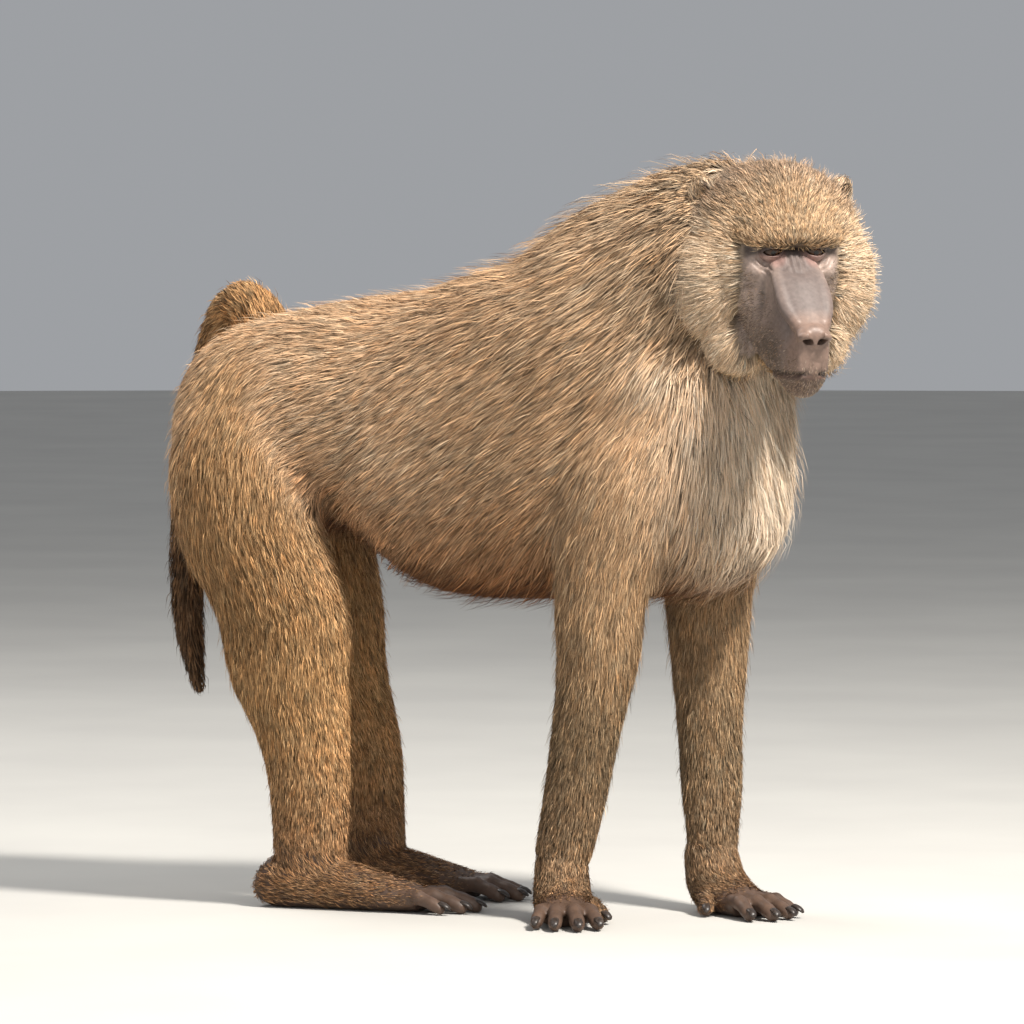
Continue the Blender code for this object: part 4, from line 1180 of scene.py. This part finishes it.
give_colour(body, ground_colour(body_coat(points_of(body), normals_of(body))[3]))
give_colour(tail_skin, ground_colour(tail_coat(points_of(tail_skin), normals_of(tail_skin))[3]))
head_points = points_of(head)
hairy = ground_colour(head_coat(head_points, normals_of(head))[3])
give_colour(head, blend(hairy, face_colour(head_points), bare_face(head_points)))
for ear in ears:
    give_colour(ear, EAR_SKIN)
for piece in paws:
    give_colour(piece, PAW * (1 + 0.15 * ripple(points_of(piece), 0.02, 41))[:, None])
give_colour(seat_skin, SEAT_SKIN)


def triangles_of(*shells):
    """Shells as triangles, for hair to root in."""
    bm = bmesh.new()
    for shell in shells:
        bm.from_mesh(shell.data)
        bmesh.ops.triangulate(bm, faces=bm.faces)
    bm.normal_update()
    return bm


body_ground, tail_ground, head_ground = [triangles_of(shell) for shell in (body, tail_skin, head)]
paw_grounds = [triangles_of(shell) for shell in paws]
ear_ground = triangles_of(*ears)
skin = joined("skin", [body, tail_skin, head, seat_skin] + ears + paws)
skin.data.materials.append(skin_material())
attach(skin, "root")
flesh = [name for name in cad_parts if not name.startswith("eye")]
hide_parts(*flesh)


# The eyes: amber-brown balls deep under the brow, each with a dark round pupil and a wet gloss.
GAZE = np.array(Vector((1.0, 0.0, -0.1)).normalized())
IRIS_RADIUS = 0.007
PUPIL_RADIUS = 0.0026
IRIS = paint(64, 40, 22)
IRIS_RIM = paint(46, 32, 24)
PUPIL = paint(8, 6, 6)


def eye_material():
    """Wet eye: markings of pupil, iris and dark rim under a clear coat."""
    material, tree, shader = new_material("eye_wet", 0.22, 0.2)
    shader.inputs["Coat Weight"].default_value = 0.4
    shader.inputs["Coat Roughness"].default_value = 0.03
    tree.links.new(marking_of(tree).socket, shader.inputs["Base Color"])
    return material


wet = eye_material()
for side, label in ((-1, "right"), (1, "left")):
    eye_centre = on_side(EYE_PLACE, side)
    eye = ball("eyeball_" + label, eye_centre, (EYE_RADIUS,) * 3, rings=48, segments=64)
    offset = points_of(eye) - np.array(eye_centre)
    along = offset @ GAZE
    away = np.linalg.norm(offset - along[:, None] * GAZE, axis=1)
    away = np.where(along > 0, away, EYE_RADIUS)
    inside = ramp(PUPIL_RADIUS - away, -0.0003, 0.0003)[:, None]
    rim = ramp(away, IRIS_RADIUS - 0.0012, IRIS_RADIUS)[:, None]
    colours = IRIS * (1 - 0.35 * ramp(away, 0.003, 0.006)[:, None])
    colours = colours * (1 - rim) + IRIS_RIM * rim
    give_colour(eye, colours * (1 - inside) + PUPIL * inside)
    eye.data.transform(HEAD_FRAME)
    eye.data.shade_smooth()
    eye.data.materials.append(wet)
    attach(eye, "root")
    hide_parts("eye_" + label)


# The coat: tufts of a few hairs each, rooted in the skin, that rise and then lie along the coat's course.
# Tips of neighbouring tufts draw together into locks, and each hair is banded pale and dark on a dark root.
LONG = (0.0, 0.42, 0.74, 1.0)
SHORT = (0.0, 0.52, 1.0)
LONG_WIDTH = (1.0, 0.95, 0.7, 0.0)
SHORT_WIDTH = (1.0, 0.85, 0.0)
PATCH = 0.003
ROOT_DEPTH = 0.001
ROOT_TONE = 0.2
BAND = 0.6
BRIGHTEST = 0.78
SHARE = 1.0
LOCK_TONE = 0.16
TUFT_TONE = 0.33
PHASE_NOISE = 0.24
WAVES = 1.25
LOWEST_HAIR = 0.0006


def roots_on(bm, count, density, seed):
    """Random roots over a skin, spread by area and by a density from 0 to 1; their places and normals."""
    corners = np.array([[v.co[:] for v in f.verts] for f in bm.faces])
    turned = np.array([[v.normal[:] for v in f.verts] for f in bm.faces])
    area = np.linalg.norm(np.cross(corners[:, 1] - corners[:, 0], corners[:, 2] - corners[:, 0]), axis=1)
    share = np.cumsum(area * density(corners.mean(axis=1), unit(turned.mean(axis=1))))
    draw = np.random.default_rng(seed)
    pick = np.searchsorted(share, draw.uniform(0, share[-1], count))
    u, v = draw.uniform(size=(2, count))
    flip = u + v > 1
    u, v = np.where(flip, 1 - u, u), np.where(flip, 1 - v, v)
    mix = np.stack([1 - u - v, u, v], axis=1)[:, :, None]
    return (corners[pick] * mix).sum(axis=1), unit((turned[pick] * mix).sum(axis=1))


def nearest_on(tree, points):
    """The nearest places on a skin and the normals there."""
    placed, facing = np.empty_like(points), np.empty_like(points)
    for i, spot in enumerate(points.tolist()):
        placed[i], facing[i] = tree.find_nearest(spot)[:2]
    return placed, facing


def clear_of(tree, points, depth=0.004):
    """Which points don't lie deeper than that inside another skin."""
    placed, facing = nearest_on(tree, points)
    return ((points - placed) * facing).sum(axis=1) > -depth


def flattened(lie, normals):
    """The lie without its part along the normals."""
    return unit(lie - normals * (lie * normals).sum(axis=1)[:, None])


def gathered(tips, middles, seed, every, pull):
    """Draws the tips of neighbouring tufts towards a leader's, into locks; gives each tuft's leader too."""
    draw = np.random.default_rng(seed)
    leaders = draw.choice(len(tips), max(len(tips) // every, 1), replace=False)
    tree = KDTree(len(leaders))
    for i, leader in enumerate(leaders):
        tree.insert(middles[leader], i)
    tree.balance()
    lead = leaders[[tree.find(spot)[1] for spot in middles.tolist()]]
    pull = pull * draw.uniform(0.3, 1.0, (len(tips), 1))
    return tips + (tips[lead] - tips) * pull, middles + (middles[lead] - middles) * pull * 0.4, lead


def bands(colour, lead, steps, draw):
    """Each tuft's colours from root to tip: dark, then banded pale and dark, much as its lock is."""
    count = len(lead)
    phase = draw.uniform(0, 1, count)[lead] + draw.normal(0, PHASE_NOISE, count)
    tone = np.exp(draw.normal(0, LOCK_TONE, count)[lead] + draw.normal(0, TUFT_TONE, count))
    rust = draw.normal(0.015, 0.04, count)[lead] + draw.normal(0.0, 0.03, count)
    rows = []
    for t in steps:
        band = 1 + BAND * np.cos(2 * math.pi * (WAVES * t + phase))
        shade = tone * band * (ROOT_TONE + (1 - ROOT_TONE) * min(t / 0.5, 1.0))
        rows.append(np.stack([shade * (1 + rust), shade, shade * (1 - rust)], axis=1))
    tones = [row for row in rows[:-1] for _ in (0, 1)] + [rows[-1]]
    made = colour[:, None, :] * np.stack(tones, axis=1)
    brightest = made.max(axis=2, keepdims=True)
    return np.maximum(made * np.minimum(1.0, BRIGHTEST / brightest), 0.003)


def ribbon_mesh(name, centres, across, width, widths):
    """Flat pointed ribbons through rows of centres, as one mesh."""
    rows = []
    for centre, wide in zip(centres[:-1], widths):
        half = across * (width * wide / 2)[:, None]
        rows += [centre - half, centre + half]
    points = np.stack(rows + [centres[-1]], axis=1)
    points[:, :, 2] = np.maximum(points[:, :, 2], LOWEST_HAIR)
    count, per = points.shape[:2]
    quads = [corner for k in range(len(centres) - 2) for corner in (2 * k, 2 * k + 1, 2 * k + 3, 2 * k + 2)]
    pattern = np.array(quads + [per - 3, per - 2, per - 1])
    sizes = np.tile([4] * (len(quads) // 4) + [3], count)
    mesh = bpy.data.meshes.new(name)
    mesh.vertices.add(count * per)
    mesh.vertices.foreach_set("co", points.ravel())
    mesh.loops.add(count * len(pattern))
    corners = (np.arange(count)[:, None] * per + pattern).ravel()
    mesh.loops.foreach_set("vertex_index", corners.astype(np.int32))
    mesh.polygons.add(len(sizes))
    mesh.polygons.foreach_set("loop_start", (np.cumsum(sizes) - sizes).astype(np.int32))
    mesh.update(calc_edges=True)
    mesh.shade_smooth()
    return mesh, pattern


def bake_map(mesh, pattern, spots, steps):
    """The OFBake map: each tuft is a small patch at its root's place on the skin's own unwrap."""
    side = [0.0, PATCH] * (len(steps) - 1) + [PATCH / 2]
    up = [t * PATCH for t in steps[:-1] for _ in (0, 1)] + [PATCH]
    patch = np.stack([side, up], axis=1)[pattern]
    layer = mesh.uv_layers.new(name="OFBake")
    layer.data.foreach_set("uv", (spots[:, None, :] * (1 - PATCH) + patch[None]).ravel())


def grow(name, bm, count, style, density, spread, seed, nodes, width,
         pull=0.3, every=10, stray=0.13, long_hair=False, wild=0.05, others=()):
    """One piece of the coat: tufts on a skin in the style of their region.

    Pull and every set how tightly and how widely tips draw together, stray how much their lie varies,
    and wild the share of tufts that stand off. None root deep inside the others.
    """
    draw = np.random.default_rng(seed)
    roots, normals = roots_on(bm, int(count * SHARE), density, seed)
    for other in others:
        keep = clear_of(other, roots)
        roots, normals = roots[keep], normals[keep]
    lie, length, depth, colour = style(roots, normals)
    count = len(roots)
    lie = flattened(lie + draw.normal(0, stray, (count, 1)) * np.cross(normals, lie), normals)
    length = length * draw.uniform(0.65, 1.15, count)
    loose = draw.uniform(size=count) < wild
    depth = depth * np.where(loose, draw.uniform(1.2, 2.0, count), draw.uniform(0.5, 1.1, count))
    steps, widths = (LONG, LONG_WIDTH) if long_hair else (SHORT, SHORT_WIDTH)
    tree = BVHTree.FromBMesh(bm)
    middle, facing = nearest_on(tree, roots + lie * (length * 0.5)[:, None])
    facing = unit(facing + normals * 0.8)
    tip, tip_facing = nearest_on(tree, middle + flattened(lie, facing) * (length * 0.5)[:, None])
    middle = middle + facing * (depth * 0.7)[:, None]
    tip = tip + unit(tip_facing + facing) * depth[:, None]
    tip, middle, lead = gathered(tip, middle, seed + 1, every, pull)
    start = roots - normals * ROOT_DEPTH
    bend = 2 * middle - 0.5 * (start + tip)
    centres = [start * (1 - t) ** 2 + bend * 2 * t * (1 - t) + tip * t * t for t in steps]
    roll = draw.uniform(-0.75, 0.75, count)[:, None]
    across = np.cross(normals, lie) * np.cos(roll) + normals * np.sin(roll)
    breadth = width * draw.uniform(0.65, 1.2, count) * np.where(loose, 0.6, 1.0)
    mesh, pattern = ribbon_mesh(name, centres, across, breadth, widths)
    obj = added(name, mesh)
    give_colour(obj, bands(colour, lead, steps, draw).reshape(-1, 3))
    bake_map(mesh, pattern, spread(roots, normals), steps)
    mesh.materials.append(hair)
    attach(obj, "root")
    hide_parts(*nodes)


def coat_material():
    """Hair: each tuft's own colour from dark root to banded tip, dull with a slight gloss."""
    material, tree, shader = new_material("coat_hair", 0.68, 0.18)
    tree.links.new(marking_of(tree).socket, shader.inputs["Base Color"])
    return material


def turned_round(sideways, up, along):
    """An unwrap: way round a form by length along it."""
    return np.stack([np.arctan2(sideways, up) / (2 * math.pi) + 0.5, np.clip(along, 0, 1)], axis=1)


def trunk_spread(points, normals):
    """The trunk's unwrap, from rump to chest."""
    return turned_round(normals[:, 1], normals[:, 2], (points[:, 0] + 0.4) / 0.8)


def upright_spread(points, normals):
    """The unwrap of a limb or the tail, by height."""
    return turned_round(normals[:, 1], normals[:, 0], points[:, 2] / 0.62)


def head_spread(points, normals):
    """The head's unwrap, round the line from nape to nose."""
    x, y, z = in_head(points).T
    return turned_round(y, z + 0.035 + 0.45 * np.maximum(x, 0), (x + 0.15) / 0.27)


def paw_spread(points, normals):
    """The unwrap of a hand or foot, from wrist or heel to tips."""
    reach, sideways = along_paw(points)
    return turned_round(sideways, normals[:, 2], (reach + 0.08) / 0.28)


def region(name, sign=0):
    """A density that keeps the roots of one course of the body, on one side of it where sign is given."""
    wanted = list(COURSES).index(name)

    def density(points, normals):
        mine = follow(points)[4].argmax(axis=0) == wanted
        side = (points[:, 1] + MIDDLE.y) * sign >= 0
        return mine * side * ramp(points[:, 2], 0.04, 0.055)

    return density


def mane_coat(points, normals):
    """The neck's coat, short beside the ears so that it doesn't lie over them."""
    lie, length, depth, colour = body_coat(points, normals)
    beside = 1 - ramp(from_ear(points), 0.018, 0.048)
    return lie, length * (1 - 0.7 * beside), depth * (1 - 0.6 * beside), colour


def all_over(points, normals):
    """A density that is the same everywhere."""
    return np.ones(len(points))


hair = coat_material()
body_tree = BVHTree.FromBMesh(body_ground)
head_tree = BVHTree.FromBMesh(head_ground)
for side, label in ((-1, "right"), (1, "left")):
    grow("coat_trunk_" + label, body_ground, 60000, body_coat, region("trunk", side), trunk_spread,
         101 + side, ["chest", "abdomen", "pelvis"], 0.0012)
    grow("coat_arm_" + label, body_ground, 46000, body_coat, region(label + "_arm"), upright_spread,
         111 + side, ["upper_arm_" + label, "forearm_" + label], 0.00105, pull=0.22)
    grow("coat_leg_" + label, body_ground, 50000, body_coat, region(label + "_leg"), upright_spread,
         121 + side, ["thigh_" + label, "shank_" + label], 0.0011, pull=0.2)
grow("coat_mane", body_ground, 37000, mane_coat, region("neck"), trunk_spread,
     131, ["neck"], 0.00118, every=14, stray=0.18, long_hair=True, wild=0.1, others=[head_tree])
grow("coat_tail", tail_ground, 12000, tail_coat, all_over, upright_spread,
     141, ["tail_root", "tail_middle", "tail_tip"], 0.0014)


# The head's coat: short hair combed up from the brow, and the long pale ruff swept back from the cheeks.
# Thin short hairs run on over the grey skin of cheeks, lips and chin.
def head_density(points, normals):
    """Hair on the furred part of the head."""
    x, y, z = in_head(points).T
    return (1 - bare_face(points)) ** 2 * (1.0 + 0.8 * ramp(x, -0.06, -0.02))


def cheek_hair(points, normals):
    """Short pale hairs over the cheeks, lips and chin."""
    still = np.ones(len(points))
    return head_coat(points, normals)[0], 0.006 * still, 0.0014 * still, np.tile(CHEEK_DOWN, (len(points), 1))


def cheek_density(points, normals):
    """Sparse hairs on the bare face, none on the bridge, nose and lids."""
    x, y, z = in_head(points).T
    edge = ramp(np.abs(y), 0.03, 0.046) * ramp(-0.012 - z, 0.0, 0.02)
    mouth = ramp(-z, 0.092, 0.104) * ramp(x, 0.01, 0.04)
    side = ramp(-0.03 - 0.52 * x - z, 0.0, 0.02) * 0.35
    line = mouth_line(x)
    lips = 1 - 0.9 * bump(z - line, -0.001, 0.0045) * ramp(x, 0.012, 0.02)
    return bare_face(points) * np.clip(edge + mouth + side, 0, 1) * lips


grow("coat_head", head_ground, 80000, head_coat, head_density, head_spread, 151,
     ["head", "ear_left", "ear_right"], 0.0009, pull=0.25, every=9, stray=0.2, wild=0.07,
     others=[body_tree])
grow("coat_cheeks", head_ground, 9000, cheek_hair, cheek_density, head_spread, 152,
     ["muzzle", "jaw"], 0.00032, pull=0.0, stray=0.35, wild=0.0)


# The ears' hair: soft tufts over the back and rim of each ear, from which only the dark hollow looks out.
def ear_density(points, normals):
    """Hair on the back and rim of the ears."""
    facing = normals @ np.array(HEAD_FRAME.to_3x3())
    side = np.sign(in_head(points)[:, 1])
    outward = facing[:, 0] * 0.85 + facing[:, 1] * side * 0.45
    return ramp(-outward, -0.25, 0.1) + 0.3 * ramp(outward, 0.3, 0.6)


def ear_coat(points, normals):
    """The lie, length, depth and colour of the hair on the ears."""
    side = np.sign(in_head(points)[:, 1])
    still = np.ones(len(points))
    lie = np.stack([-0.55 * still, 0.35 * side, 0.75 * still], axis=1) @ np.array(HEAD_FRAME.to_3x3()).T
    return unit(lie), 0.013 * still, 0.0042 * still, np.tile(CHEEK_HAIR * 0.75, (len(points), 1))


grow("coat_ears", ear_ground, 5000, ear_coat, ear_density, head_spread, 153,
     ["ear_left", "ear_right"], 0.0008, pull=0.2, stray=0.25, wild=0.1)


# The hair of hands and feet: short and dark, combed down over the wrist and back of the hand to the knuckles.
def paw_density(points, normals):
    """Hair on the backs of hands and feet, ending at the knuckles."""
    reach = along_paw(points)[0]
    height = points[:, 2]
    back = ramp(normals[:, 2] + 1.2 * ramp(height, 0.02, 0.04), -0.85, -0.45) * ramp(height, 0.003, 0.007)
    return back * (1 - ramp(reach - paw_of(points)[:, 4], -0.045, 0.0))


for i, (bm, label) in enumerate(zip(paw_grounds, ("hand_right", "foot_right", "hand_left", "foot_left"))):
    grow("coat_" + label, bm, 8000, paw_coat, paw_density, paw_spread, 161 + i,
         [label], 0.00075, pull=0.1, stray=0.2)
for bm in [body_ground, tail_ground, head_ground, ear_ground] + paw_grounds:
    bm.free()
